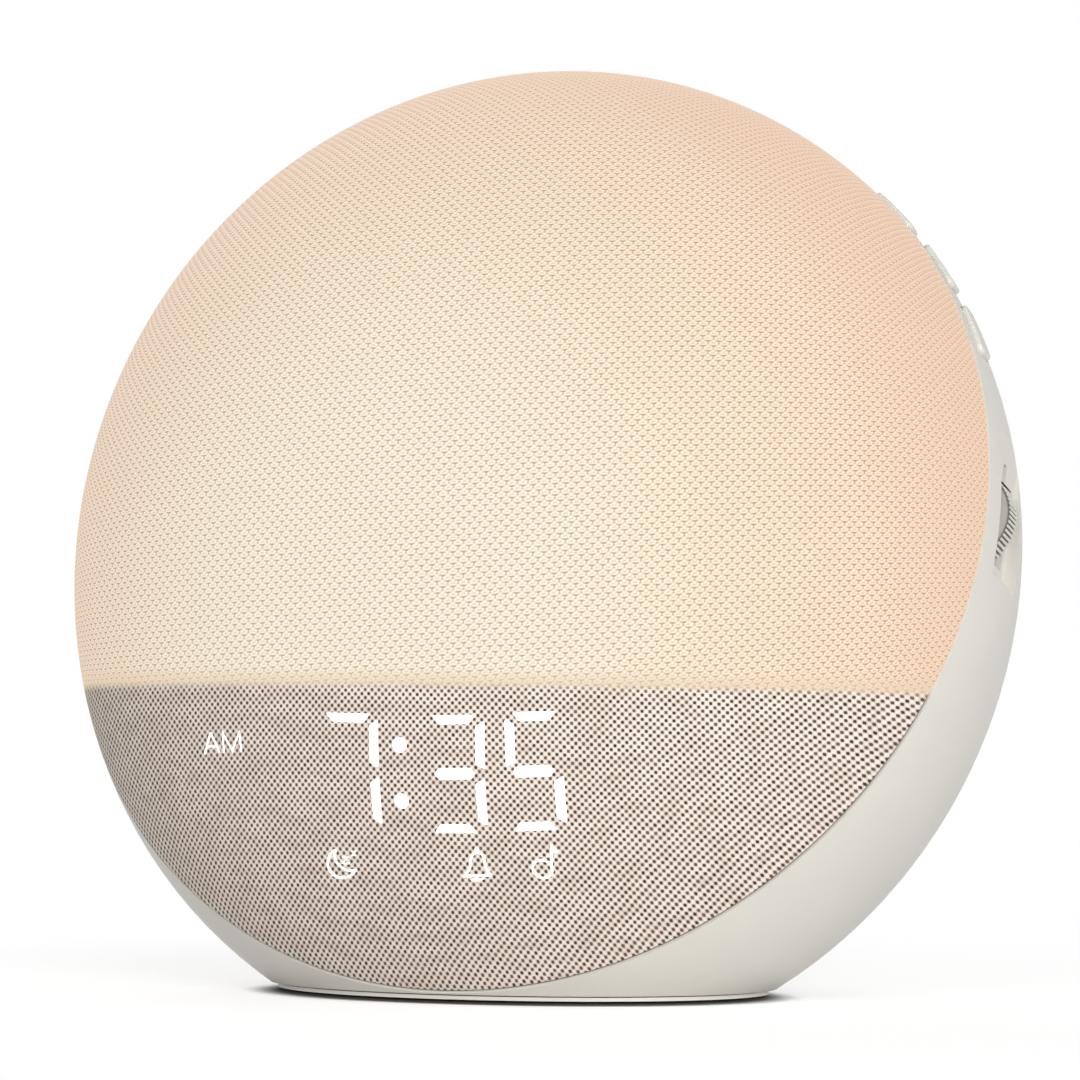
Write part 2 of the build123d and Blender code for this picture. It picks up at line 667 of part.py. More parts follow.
# ================================================================ speaker, facing the back
SPEAKER_SEAT = 7.7  # flange behind which the gasket and collar stand, ahead of the rear pole
COLLAR = (26.0, 33.0)
GASKET = 1.0
speaker_plane = Plane(
    origin=centre - short_dir * (HALF_DEPTH - SPEAKER_SEAT), x_dir=across, z_dir=short_dir
)
speaker_axis = Axis(speaker_plane.origin, short_dir)
speaker_section = Plane(origin=speaker_plane.origin, x_dir=across, z_dir=tall_dir * -1)
SPEAKER_SCREW_R = 29.5
speaker_screw_places = [
    (SPEAKER_SCREW_R * cos(radians(a)), SPEAKER_SCREW_R * sin(radians(a))) for a in (45, 135, 225, 315)
]


def turned(*outline):
    """A solid of revolution about the speaker's axis, from (radius, forward) points."""
    with BuildPart() as piece:
        with BuildSketch(speaker_section):
            Polygon(*outline, align=None)
        revolve(axis=speaker_axis)
    return piece.part


basket_rim = [(25.4, 0), (32.6, 0), (32.6, 1.4), (26.4, 1.4)]
basket_seat = [(15.2, 12.6), (15.2, 13.6), (7.9, 13.6), (7.9, 12.4), (13.9, 12.4)]
basket_body = turned(*basket_rim, *basket_seat)
with BuildPart() as speaker_basket:
    add(basket_body)
    with BuildSketch(speaker_plane):
        with Locations(*speaker_screw_places):
            Circle(SCREW_R + 0.1)
    extrude(amount=3, mode=Mode.SUBTRACT)
    with BuildSketch(speaker_plane.offset(1.5)):
        with PolarLocations(20, 6, start_angle=30):
            SlotOverall(8, 4.6, rotation=90)
    extrude(amount=11, mode=Mode.SUBTRACT)
save(speaker_basket.part, "speaker_basket")
with BuildPart() as speaker_gasket:
    with BuildSketch(speaker_plane):
        Circle(32.6)
        Circle(27.4, mode=Mode.SUBTRACT)
        with Locations(*speaker_screw_places):
            Circle(SCREW_R + 0.1, mode=Mode.SUBTRACT)
    extrude(amount=-GASKET)
save(speaker_gasket.part, "speaker_gasket")
save(turned((7.9, 13.6), (13, 13.6), (13, 15.6), (7.9, 15.6)), "speaker_top_plate")
save(turned((9, 15.6), (16.5, 15.6), (16.5, 21.6), (9, 21.6)), "speaker_magnet")
save(turned((0, 13.4), (6.4, 13.4), (6.4, 21.6), (15, 21.6), (15, 24.2), (0, 24.2)), "speaker_yoke")
save(turned((7.0, 9.4), (7.5, 9.4), (7.5, 19.0), (7.0, 19.0)), "voice_coil")
save(turned((7.5, 9.5), (21.2, 0.05), (22.0, 0.05), (22.0, 0.5), (21.5, 0.5), (7.5, 10.1)), "speaker_cone")
save(turned((0, 7.6), (5.2, 8.3), (7.0, 9.4), (7.0, 9.9), (5.0, 8.8), (0, 8.1)), "dust_cap")

with BuildPart() as speaker_surround:
    with BuildSketch(speaker_section):
        with Locations((23.2, 0)):
            Circle(1.8)
            Circle(1.4, mode=Mode.SUBTRACT)
            Rectangle(6, 3, align=(Align.CENTER, Align.MIN), mode=Mode.SUBTRACT)
        with Locations((24.7, 0)):
            Rectangle(2.3, 0.4, align=(Align.MIN, Align.MAX))
    revolve(axis=speaker_axis)
save(speaker_surround.part, "speaker_surround")
save(screws(speaker_plane.offset(1.4), speaker_screw_places, 5, 2.6, 1.3), "speaker_screws")

with BuildPart() as speaker_terminals:
    with BuildSketch(speaker_plane.offset(1.4)):
        with Locations((-29.6, 0)):
            Rectangle(3.6, 8)
    extrude(amount=3)
save(speaker_terminals.part, "speaker_terminals")

# ================================================================ housing
PLATE_BOTTOM = 0.5
FLANGE_TOP = 1.2
HOUSING_BOTTOM = 1.45
PAD_TOP = 1.3
PAD_INSET = 5.2
foot_y, foot_a, foot_b = level_section(PLATE_BOTTOM, 0)
base_screw_places = [(x, foot_y + y) for x in (-33, 33) for y in (-12, 12)]
BASE_BOSS = (3.6, 10.0)

JACK_Z = 29.0
JACK_FLOOR = 42.0
JACK_WALL = 3.5
JACK_POCKET_R = 6.8
jack_plane = Plane(origin=(0, JACK_FLOOR, JACK_Z), x_dir=across, z_dir=(0, 1, 0))
GRILLE_RINGS = 5
GRILLE_PITCH = 4.0
GRILLE_HOLE_R = 1.1

with BuildPart() as housing_fittings:
    with BuildSketch(seam_plane.offset(BULKHEAD_BACK)):
        with Locations(*chassis_screw_places):
            Circle(4.0)
    extrude(amount=-DEEP)
    with BuildSketch(seam_plane.offset(RECESS[1] - 1.2)):
        box_sketch(POCKET_FACE, 100, -9, 30)
    extrude(amount=13.6)
    with BuildSketch(seam_plane.offset(BRACKET_FRONT)):
        with Locations(*dial_post_places):
            Circle(3.0)
        for post_x, post_y in dial_post_places:
            box_sketch(post_x, 100, post_y - 1.2, post_y + 1.2)
    extrude(amount=7)
    with BuildSketch(key_plane.offset(KEY_BOARD_TOP)):
        with Locations(*key_screw_places):
            Circle(2.8)
    extrude(amount=DEEP / 4)
    for place in key_places.values():
        with BuildSketch(key_plane.offset(place.Z - STOP_DEPTH)):
            box_sketch(place.X - 7.6, place.X + 7.6, place.Y - 4.3, place.Y + 3.6)
        extrude(amount=12)
    with BuildSketch(speaker_plane.offset(-GASKET)):
        Circle(COLLAR[1])
        Circle(COLLAR[0], mode=Mode.SUBTRACT)
    extrude(amount=-12)
    with BuildSketch(jack_plane.offset(-JACK_WALL)):
        Circle(JACK_POCKET_R + 2.4)
    extrude(amount=20)
    with BuildSketch(Plane.XY.offset(PLATE_TOP)):
        with Locations(*base_screw_places):
            Circle(BASE_BOSS[0])
        for boss_x, boss_y in base_screw_places:
            with Locations(((boss_x + (60 if boss_x > 0 else -60)) / 2, boss_y)):
                Rectangle(60 - abs(boss_x), 1.8)
    extrude(amount=BASE_BOSS[1])
    add(spheroid_of[SKIN], mode=Mode.INTERSECT)
    split(bisect_by=seam_plane, keep=Keep.BOTTOM)
    split(bisect_by=Plane.XY.offset(HOUSING_BOTTOM), keep=Keep.TOP)

with BuildPart() as rear_housing:
    add(spheroid_of[0])
    split(bisect_by=seam_plane, keep=Keep.BOTTOM)
    split(bisect_by=Plane.XY.offset(HOUSING_BOTTOM), keep=Keep.TOP)
    add(spheroid_of[WALL], mode=Mode.SUBTRACT)
    add(housing_fittings.part)
    # finger recess, wheel slot and the room for the wheel inside the wall
    with BuildSketch(seam_plane.offset(RECESS[0])):
        box_sketch(RECESS_FLOOR, 100, RECESS[2], RECESS[3])
    extrude(amount=RECESS[1] - RECESS[0], mode=Mode.SUBTRACT)
    with BuildSketch(seam_plane.offset(SLOT[0])):
        with Locations(DIAL_PLACE):
            Circle(DIAL_R + CLEAR)
        box_sketch(72, 100, DIAL_PLACE[1] + SLOT[2], DIAL_PLACE[1])
    extrude(amount=SLOT[1] - SLOT[0], mode=Mode.SUBTRACT)
    with BuildSketch(seam_plane.offset(SLOT[0])):
        box_sketch(72, 100, DIAL_PLACE[1], DIAL_PLACE[1] + SLIT[1])
    extrude(amount=SLIT[0] - SLOT[0], mode=Mode.SUBTRACT)
    # key openings
    for place in key_places.values():
        with BuildSketch(key_plane.offset(place.Z - STOP_DEPTH - 1)):
            with Locations((place.X, place.Y)):
                RectangleRounded(KEY_SIZE[0] + 2 * KEY_GAP, KEY_SIZE[1] + 2 * KEY_GAP, KEY_CORNER + KEY_GAP)
        extrude(amount=DEEP / 4, mode=Mode.SUBTRACT)
    # speaker grille
    with BuildSketch(speaker_plane.offset(-GASKET)):
        Circle(GRILLE_HOLE_R)
        for ring in range(1, GRILLE_RINGS + 1):
            with PolarLocations(ring * GRILLE_PITCH, 6 * ring):
                Circle(GRILLE_HOLE_R)
    extrude(amount=-DEEP / 4, mode=Mode.SUBTRACT)
    # power inlet
    with BuildSketch(jack_plane):
        Circle(JACK_POCKET_R)
    extrude(amount=20, mode=Mode.SUBTRACT)
    with BuildSketch(jack_plane.offset(-JACK_WALL)):
        Circle(4.15)
    extrude(amount=20, mode=Mode.SUBTRACT)
    # screw holes
    with BuildSketch(seam_plane.offset(BULKHEAD_BACK)):
        with Locations(*chassis_screw_places):
            Circle(PILOT_R)
    extrude(amount=-12, mode=Mode.SUBTRACT)
    with BuildSketch(seam_plane.offset(BRACKET_FRONT)):
        with Locations(*dial_post_places):
            Circle(PILOT_R)
    extrude(amount=6.2, mode=Mode.SUBTRACT)
    with BuildSketch(key_plane.offset(KEY_BOARD_TOP)):
        with Locations(*key_screw_places):
            Circle(PILOT_R)
    extrude(amount=7, mode=Mode.SUBTRACT)
    with BuildSketch(speaker_plane.offset(-GASKET)):
        with Locations(*speaker_screw_places):
            Circle(PILOT_R)
    extrude(amount=-2.8, mode=Mode.SUBTRACT)
    with BuildSketch(Plane.XY.offset(PLATE_TOP)):
        with Locations(*base_screw_places):
            Circle(PILOT_R)
    extrude(amount=8.5, mode=Mode.SUBTRACT)
save(rear_housing.part, "rear_housing")

with BuildPart() as base_plate:
    add(spheroid_of[PLATE_INSET])
    split(bisect_by=Plane.XY.offset(FLANGE_TOP), keep=Keep.TOP)
    split(bisect_by=Plane.XY.offset(PLATE_TOP), keep=Keep.BOTTOM)
    with BuildSketch(Plane.XY.offset(PLATE_BOTTOM)):
        with Locations((0, foot_y)):
            Ellipse(foot_a, foot_b)
    extrude(amount=FLANGE_TOP - PLATE_BOTTOM)
    with BuildSketch(Plane.XY.offset(PLATE_BOTTOM)):
        with Locations((0, foot_y)):
            Ellipse(foot_a - PAD_INSET + 0.2, foot_b - PAD_INSET + 0.2)
    extrude(amount=PAD_TOP - PLATE_BOTTOM, mode=Mode.SUBTRACT)
    with BuildSketch(Plane.XY.offset(PAD_TOP)):
        with Locations(*base_screw_places):
            Circle(3.0)
    extrude(amount=1.7, mode=Mode.SUBTRACT)
    with BuildSketch(Plane.XY.offset(PAD_TOP)):
        with Locations(*base_screw_places):
            Circle(SCREW_R + 0.1)
    extrude(amount=PLATE_TOP, mode=Mode.SUBTRACT)
save(base_plate.part, "base_plate")

with BuildPart() as foot_pad:
    with BuildSketch(Plane.XY):
        with Locations((0, foot_y)):
            Ellipse(foot_a - PAD_INSET, foot_b - PAD_INSET)
    extrude(amount=PAD_TOP)
save(foot_pad.part, "foot_pad")
base_screw_plane = turned_over(Plane.XY.offset(PAD_TOP + 1.7))
save(screws(base_screw_plane, [(x, -y) for x, y in base_screw_places], 9, 2.8, 1.5), "base_screws")

# ---------------------------------------------------------------- power inlet
with BuildPart() as dc_jack:
    with BuildSketch(jack_plane.offset(-JACK_WALL)):
        Rectangle(11, 11)
    extrude(amount=-13)
    with BuildSketch(jack_plane.offset(-JACK_WALL)):
        Circle(4.0)
    extrude(amount=JACK_WALL + 2.4)
    with BuildSketch(jack_plane.offset(2.4)):
        Circle(2.9)
    extrude(amount=-10, mode=Mode.SUBTRACT)
    with BuildSketch(jack_plane.offset(2.4 - 10)):
        Circle(1.0)
    extrude(amount=8.8)
save(dc_jack.part, "dc_jack")

with BuildPart() as jack_nut:
    with BuildSketch(jack_plane.offset(0.05)):
        RegularPolygon(5.9, 6)
        Circle(4.05, mode=Mode.SUBTRACT)
    extrude(amount=1.8)
save(jack_nut.part, "jack_nut")

# ================================================================ leads
LEAD_R = 0.8
PLUG_BACK = MAIN_BOARD_BACK - CONNECTOR


def plug_points(name, reach):
    """The last two points of a lead: square into its connector on the main board."""
    x, y = LEAD_PLACES[name]
    return [seam_point(x, y, PLUG_BACK - reach), seam_point(x, y, PLUG_BACK)]


jack_back = -JACK_WALL - 13
leads = {
    "speaker_lead": [
        speaker_plane.from_local_coords((-29.6, 0, 4.4)),
        speaker_plane.from_local_coords((-29.6, 0, 13)),
        seam_point(-35, 0, -42),
        seam_point(-38.5, -12, -32),
        *plug_points("speaker", 9),
    ],
    "key_lead": [
        key_plane.from_local_coords((0, -1.2, KEY_BOARD_TOP - BOARD)),
        key_plane.from_local_coords((0, -1.2, KEY_BOARD_TOP - BOARD - 8)),
        seam_point(46, 31, -13.5),
        seam_point(40, 18, -21),
        *plug_points("key", 7),
    ],
    "dial_lead": [
        seam_point(DIAL_PLACE[0] - 3.5, DIAL_PLACE[1], ENCODER_BACK),
        seam_point(DIAL_PLACE[0] - 3.5, DIAL_PLACE[1], ENCODER_BACK - 7),
        seam_point(75, 4, -35),
        seam_point(62, -3, -36),
        seam_point(48, -7.5, -31),
        *plug_points("dial", 9),
    ],
    "power_lead": [
        jack_plane.from_local_coords((0, 0, jack_back)),
        jack_plane.from_local_coords((0, 0, jack_back - 9)),
        seam_point(6, -39, -35),
        seam_point(14, -33, -26),
        *plug_points("power", 7),
    ],
}
for name, points in leads.items():
    save(lead(points, LEAD_R), name)
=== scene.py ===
# %% [markdown]
# # A sunrise alarm clock, finished in Blender
# The clock is a flattened round body that leans back on a flat foot. The sizes and the joints come
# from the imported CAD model, which loads as a fixed frame. This lesson adds what CAD doesn't show:
# the woven front that glows, the lit figures of the display, the ribs of the wheel and every finish.

# %% Load the frame
import json
from math import cos, pi, radians, sin, sqrt, tan

import bmesh
import bpy
from mathutils import Matrix, Vector
from mathutils.geometry import delaunay_2d_cdt


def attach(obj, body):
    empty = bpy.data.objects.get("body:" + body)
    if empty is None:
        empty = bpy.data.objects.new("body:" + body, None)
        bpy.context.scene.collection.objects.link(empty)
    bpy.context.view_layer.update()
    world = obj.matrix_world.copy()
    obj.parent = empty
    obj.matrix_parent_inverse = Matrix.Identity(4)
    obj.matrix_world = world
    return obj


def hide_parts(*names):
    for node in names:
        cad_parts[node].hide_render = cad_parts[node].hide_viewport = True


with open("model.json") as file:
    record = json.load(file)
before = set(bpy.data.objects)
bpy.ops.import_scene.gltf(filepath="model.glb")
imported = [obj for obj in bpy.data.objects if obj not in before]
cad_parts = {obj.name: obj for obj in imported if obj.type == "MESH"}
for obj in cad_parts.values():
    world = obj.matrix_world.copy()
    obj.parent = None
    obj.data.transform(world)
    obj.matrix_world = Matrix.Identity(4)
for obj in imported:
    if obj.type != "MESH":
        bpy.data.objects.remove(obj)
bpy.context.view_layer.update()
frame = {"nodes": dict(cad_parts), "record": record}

nodes = frame["nodes"]

# %% [markdown]
# ## The outer form
# Housing and cloth are both cut from one form: a ball squashed along its short axis, with that axis
# tipped up a little. Everything on the surface can then be placed by one formula instead of by eye.
# Two directions matter most: the short axis, and the normal of the seam where cloth meets housing.

# %% Sizes of the form, in metres
MM = 0.001
HALF_WIDTH = 95 * MM
HALF_DEPTH = 61.7 * MM
CENTRE = Vector((0, 0, 81.2 * MM))
AXIS_TILT = radians(10)
SEAM_TILT = radians(21.3)
SEAM_OFFSET = 9.65 * MM

short_axis = Vector((0, -cos(AXIS_TILT), sin(AXIS_TILT)))
tall_axis = Vector((0, sin(AXIS_TILT), cos(AXIS_TILT)))
seam_axis = Vector((0, -cos(SEAM_TILT), sin(SEAM_TILT)))
seam_up = Vector((0, sin(SEAM_TILT), cos(SEAM_TILT)))


def form_gradient(offset):
    """Points straight out of the form at a place given from its centre."""
    level = Vector((offset.x, 0, 0)) + tall_axis * offset.dot(tall_axis)
    return level / HALF_WIDTH**2 + short_axis * (offset.dot(short_axis) / HALF_DEPTH**2)


def onto_form(start, direction, lift=0.0):
    """Where a line meets the front of the form, then lifted along the surface normal."""
    offset = start - CENTRE
    a = direction.dot(form_gradient(direction))
    b = offset.dot(form_gradient(direction))
    c = offset.dot(form_gradient(offset)) - 1
    hit = start + direction * ((-b + sqrt(b * b - a * c)) / a)
    return hit + form_gradient(hit - CENTRE).normalized() * lift


form_top = CENTRE.z + sqrt((HALF_WIDTH * cos(AXIS_TILT)) ** 2 + (HALF_DEPTH * sin(AXIS_TILT)) ** 2)
print("top of the form", round(form_top, 4))

# %% [markdown]
# ## Camera
# The camera looks from just under the middle of the clock, 25 degrees to the right of its front.
# A long lens keeps the round outline round. The position comes from two angles and a distance, and
# the camera then turns a fraction of a degree so that the clock sits right in the square frame.

# %% Camera
CAMERA_AZIMUTH = radians(25.247)
CAMERA_ELEVATION = radians(-0.4365)
CAMERA_DISTANCE = 1.140
CAMERA_YAW = radians(0.0057)
CAMERA_PITCH = radians(0.2142)
LENS = 199.67  # millimetres, as is the sensor
SENSOR = 36
NEAREST_SEEN = 0.05  # metres

away = Vector((sin(CAMERA_AZIMUTH) * cos(CAMERA_ELEVATION), -cos(CAMERA_AZIMUTH) * cos(CAMERA_ELEVATION),
               sin(CAMERA_ELEVATION)))
right = (-away).cross(Vector((0, 0, 1))).normalized()
up = right.cross(-away)
aim = (-away + right * tan(CAMERA_YAW) + up * tan(CAMERA_PITCH)).normalized()
right = aim.cross(Vector((0, 0, 1))).normalized()
up = right.cross(aim)

camera_data = bpy.data.cameras.new("camera")
camera_data.lens = LENS
camera_data.sensor_width = SENSOR
camera_data.clip_start = NEAREST_SEEN
camera = bpy.data.objects.new("camera", camera_data)
camera_turn = Matrix((right, up, -aim)).transposed().to_4x4()
camera.matrix_world = Matrix.Translation(CENTRE + away * CAMERA_DISTANCE) @ camera_turn
bpy.context.scene.collection.objects.link(camera)
bpy.context.scene.camera = camera
bpy.context.scene.view_settings.view_transform = "Standard"
print("camera at", [round(c, 3) for c in camera.matrix_world.translation])

# %% [markdown]
# ## Small helpers for materials
# A material is a graph of nodes. Writing each node and link by hand hides the idea, so short helpers
# do it. One adds a node and sets its sockets. Others do sums on numbers and vectors, map a range with
# soft ends, mix colours, and make noise or bump. Any value may be a plain number or the output of
# another node.

# %% Node helpers
def srgb(red, green, blue):
    """A screen colour, 0 to 255, as the linear colour that Blender works in."""
    linear = [((c / 255 + 0.055) / 1.055) ** 2.4 if c > 10 else c / 255 / 12.92 for c in (red, green, blue)]
    return (*linear, 1.0)


def plug(tree, socket, value):
    """Sets a socket, or links it when the value is another node's output."""
    if isinstance(value, bpy.types.NodeSocket):
        tree.links.new(value, socket)
    elif value is not None:
        socket.default_value = value


def add_node(tree, kind, inputs=None, **settings):
    """A node with some properties set and some sockets, by name or number, set or linked."""
    made = tree.nodes.new(kind)
    for name, value in settings.items():
        setattr(made, name, value)
    for key, value in (inputs or {}).items():
        plug(tree, made.inputs[key], value)
    return made


def calc(tree, operation, *values):
    """A Math node."""
    made = add_node(tree, "ShaderNodeMath", dict(enumerate(values)), operation=operation)
    return made.outputs[0]


def plus(tree, first, second):
    """The sum of two numbers."""
    return calc(tree, "ADD", first, second)


def minus(tree, first, second):
    """The first number less the second."""
    return calc(tree, "SUBTRACT", first, second)


def times(tree, first, second):
    """The product of two numbers."""
    return calc(tree, "MULTIPLY", first, second)


def divide(tree, first, second):
    """The first number over the second."""
    return calc(tree, "DIVIDE", first, second)


def vec(tree, operation, *values):
    """A Vector Math node. Dot products and lengths come out as numbers."""
    made = add_node(tree, "ShaderNodeVectorMath", dict(enumerate(values)), operation=operation)
    return made.outputs["Value" if operation in ("DOT_PRODUCT", "LENGTH") else "Vector"]


def join_xyz(tree, x=0.0, y=0.0, z=0.0):
    """Three numbers as one vector."""
    return add_node(tree, "ShaderNodeCombineXYZ", {0: x, 1: y, 2: z}).outputs[0]


def soft_step(tree, value, low, high, start=0.0, end=1.0):
    """Goes softly from start to end while the value goes from low to high."""
    made = add_node(tree, "ShaderNodeMapRange", {0: value, 1: low, 2: high, 3: start, 4: end},
                    interpolation_type="SMOOTHSTEP")
    return made.outputs[0]


def blend_colours(tree, share, first, second):
    """Mixes two colours, each plain or from a node."""
    made = tree.nodes.new("ShaderNodeMix")
    made.data_type = "RGBA"
    plug(tree, made.inputs[0], share)
    plug(tree, made.inputs[6], first)
    plug(tree, made.inputs[7], second)
    return made.outputs[2]


def noise(tree, place, size, detail=2.0, roughness=0.5):
    """Soft random values from 0 to 1, with blobs about this size in metres."""
    made = add_node(tree, "ShaderNodeTexNoise", {"Vector": place, "Scale": 1 / size, "Detail": detail,
                                                 "Roughness": roughness})
    return made.outputs[0]


def bump(tree, height, strength, depth):
    """Shading as if the surface rose with this height, by up to depth in metres."""
    made = add_node(tree, "ShaderNodeBump", {"Height": height, "Strength": strength, "Distance": depth})
    return made.outputs[0]


def new_finish(name):
    """An empty material with its shader, and the place on the object as a vector."""
    material = bpy.data.materials.new(name)
    material.use_nodes = True
    tree = material.node_tree
    shader = tree.nodes["Principled BSDF"]
    place = tree.nodes.new("ShaderNodeTexCoord").outputs["Object"]
    return material, tree, shader, place


print("helpers ready")

# %% [markdown]
# ## Floor, background and lamps
# The clock stands on a plain white table against white. A floor lit to pure white would also light
# the clock too much from below, so the whiteness is only for the camera and for reflections: Light
# Path tells these rays apart. Near the clock the floor keeps its shadow, and a painted shadow darkens it
# most around the foot. Further out it fades into the plain white of the world.

# %% Floor
def seen_directly(tree):
    """1 for camera, mirror and glass rays, 0 for light that bounces."""
    path = tree.nodes.new("ShaderNodeLightPath")
    first = calc(tree, "MAXIMUM", path.outputs["Is Camera Ray"], path.outputs["Is Glossy Ray"])
    return calc(tree, "MAXIMUM", first, path.outputs["Is Transmission Ray"])


def grey(level):
    """A grey from 0, black, to 1, white."""
    return (level, level, level, 1)


FLOOR_HALF = 6.0
SHADOW_REACH = 0.10  # metres from the middle, where the fade to white starts
WHITE_REACH = 0.22  # and where it ends
FOOT_MIDDLE = (1.5 * MM, -12.0 * MM, 0)
FOOT_SIZE = (49.0 * MM, 32.1 * MM, 1.0)  # half its width and depth
PAINTED_SHADOW_REACH = (0.97, 1.16)  # the painted shadow around the foot, where 1 is the edge of the foot
TABLE_LEVEL = 0.82  # grey that throws light back
PAINTED_SHADOW_LEVEL = 0.12  # grey of the painted shadow, seen at the foot
SEEN_LEVEL = 0.80  # grey seen around it
LIFT = 0.52  # glow that takes the seen grey up to near white

floor_mesh = bpy.data.meshes.new("floor")
corners = [(x * FLOOR_HALF, y * FLOOR_HALF, 0) for x, y in ((-1, -1), (1, -1), (1, 1), (-1, 1))]
floor_mesh.from_pydata(corners, [], [(0, 1, 2, 3)])
floor = bpy.data.objects.new("floor", floor_mesh)
bpy.context.scene.collection.objects.link(floor)

floor_look = bpy.data.materials.new("pale_table")
floor_look.use_nodes = True
tree = floor_look.node_tree
tree.nodes.clear()
direct = seen_directly(tree)
place = tree.nodes.new("ShaderNodeTexCoord").outputs["Object"]
fade = soft_step(tree, vec(tree, "LENGTH", place), SHADOW_REACH, WHITE_REACH)
from_foot = vec(tree, "LENGTH", vec(tree, "DIVIDE", vec(tree, "SUBTRACT", place, FOOT_MIDDLE), FOOT_SIZE))
# A painted shadow darkens the floor around the foot, and the glow that lifts the floor is left out there.
clear_of_painted_shadow = soft_step(tree, from_foot, *PAINTED_SHADOW_REACH)
table_top = add_node(tree, "ShaderNodeBsdfDiffuse", {"Color": grey(TABLE_LEVEL)}).outputs[0]
shaded = blend_colours(tree, clear_of_painted_shadow, grey(PAINTED_SHADOW_LEVEL), grey(SEEN_LEVEL))
table_seen = add_node(tree, "ShaderNodeBsdfDiffuse", {"Color": shaded}).outputs[0]
lift_here = times(tree, clear_of_painted_shadow, LIFT)
lift = add_node(tree, "ShaderNodeEmission", {"Color": grey(1), "Strength": lift_here}).outputs[0]
white = add_node(tree, "ShaderNodeEmission", {"Color": grey(1), "Strength": 1.0}).outputs[0]
lifted = add_node(tree, "ShaderNodeAddShader", {0: table_seen, 1: lift}).outputs[0]
seen_mix = add_node(tree, "ShaderNodeMixShader", {0: fade, 1: lifted, 2: white}).outputs[0]
floor_mix = add_node(tree, "ShaderNodeMixShader", {0: direct, 1: table_top, 2: seen_mix}).outputs[0]
add_node(tree, "ShaderNodeOutputMaterial", {"Surface": floor_mix})
floor_mesh.materials.append(floor_look)
print("floor", 2 * FLOOR_HALF, "m across")

# %% World
WORLD_LIGHT = 0.40  # strength for light that bounces. The camera sees plain white, a strength of 1.
world = bpy.data.worlds.new("studio")
bpy.context.scene.world = world
world.use_nodes = True
tree = world.node_tree
direct = seen_directly(tree)
level = add_node(tree, "ShaderNodeMapRange", {0: direct, 1: 0.0, 2: 1.0, 3: WORLD_LIGHT, 4: 1.0}).outputs[0]
plug(tree, tree.nodes["Background"].inputs["Strength"], level)
tree.nodes["Background"].inputs["Color"].default_value = grey(1)
print("world light", WORLD_LIGHT)

# %% [markdown]
# Soft light needs large lamps. The main one stands low, to the right and in front, so the left and
# the underside of the clock fall off gently. A weak one in front keeps the left side open, and one
# high up behind gives the back its shape.

# %% Lamps
def soft_lamp(name, place, size, watts):
    """A square lamp that faces the middle of the clock."""
    data = bpy.data.lights.new(name, "AREA")
    data.shape = "SQUARE"
    data.size = size
    data.energy = watts
    lamp = bpy.data.objects.new(name, data)
    lamp.location = place
    lamp.rotation_euler = (CENTRE - Vector(place)).to_track_quat("-Z", "Y").to_euler()
    bpy.context.scene.collection.objects.link(lamp)
    print(name, watts, "W at", round((Vector(place) - CENTRE).length, 2), "m")


# Name, place, width in metres, watts
LAMPS = (("key_lamp", (1.28, -1.40, 0.20), 1.0, 33),
         ("front_lamp", (-0.25, -1.9, 0.45), 1.0, 5),
         ("back_lamp", (-1.3, 1.5, 1.2), 1.2, 9))
for name, spot, size, watts in LAMPS:
    soft_lamp(name, spot, size, watts)

# %% [markdown]
# ## Moulded plastic and the other plain finishes
# Most pieces have one colour with life in it: a moulded grain a few tenths of a millimetre across,
# slightly uneven gloss and a faint cloudiness. One function makes them all, with the sizes of the
# grain and the depth of the bump as its arguments. Only what varies over the surface gets nodes.

# %% A grained finish
CLOUD = 14 * MM
GLOSS_SPREAD = 0.05


def grained(name, colour, roughness, grain=0.35 * MM, depth=0.02 * MM, strength=0.35, spread=0.05):
    """Colour that wanders by spread, gloss that wanders with it, and a fine moulded grain."""
    material, tree, shader, place = new_finish(name)
    clouds = noise(tree, place, CLOUD, 3)
    fine = noise(tree, place, grain, 2, 0.6)
    darker = [c * (1 - spread) for c in colour[:3]] + [1.0]
    lighter = [min(1.0, c * (1 + spread)) for c in colour[:3]] + [1.0]
    mottled = soft_step(tree, plus(tree, times(tree, clouds, 0.6), times(tree, fine, 0.4)), 0.3, 0.7)
    gloss = soft_step(tree, fine, 0.25, 0.75, roughness - GLOSS_SPREAD, roughness + GLOSS_SPREAD)
    plug(tree, shader.inputs["Base Color"], blend_colours(tree, mottled, darker, lighter))
    plug(tree, shader.inputs["Roughness"], gloss)
    plug(tree, shader.inputs["Normal"], bump(tree, fine, strength, depth))
    return material


finish = {}
finish["housing"] = grained("satin_housing", srgb(222, 219, 211), 0.46, grain=0.30 * MM,
                            depth=0.008 * MM, strength=0.15, spread=0.02)
finish["white_plastic"] = grained("white_nylon", srgb(226, 226, 221), 0.5, spread=0.03)
finish["inner_plastic"] = grained("grey_acetal", srgb(72, 72, 76), 0.5, spread=0.08)
finish["chip"] = grained("black_moulding", srgb(38, 38, 42), 0.55, grain=0.2 * MM, spread=0.12)
finish["dark_panel"] = grained("black_light_block", srgb(44, 41, 40), 0.6, spread=0.10)
finish["ferrite"] = grained("sintered_ferrite", srgb(66, 66, 70), 0.62, grain=0.5 * MM,
                            depth=0.05 * MM, spread=0.18)
finish["soft_rubber"] = grained("ribbed_rubber", srgb(48, 47, 46), 0.72, grain=0.6 * MM,
                                depth=0.05 * MM, spread=0.12)
finish["lead_jacket"] = grained("lead_jacket", srgb(40, 40, 43), 0.42, grain=0.8 * MM,
                                depth=0.03 * MM, spread=0.08)
print(len(finish), "plain finishes")
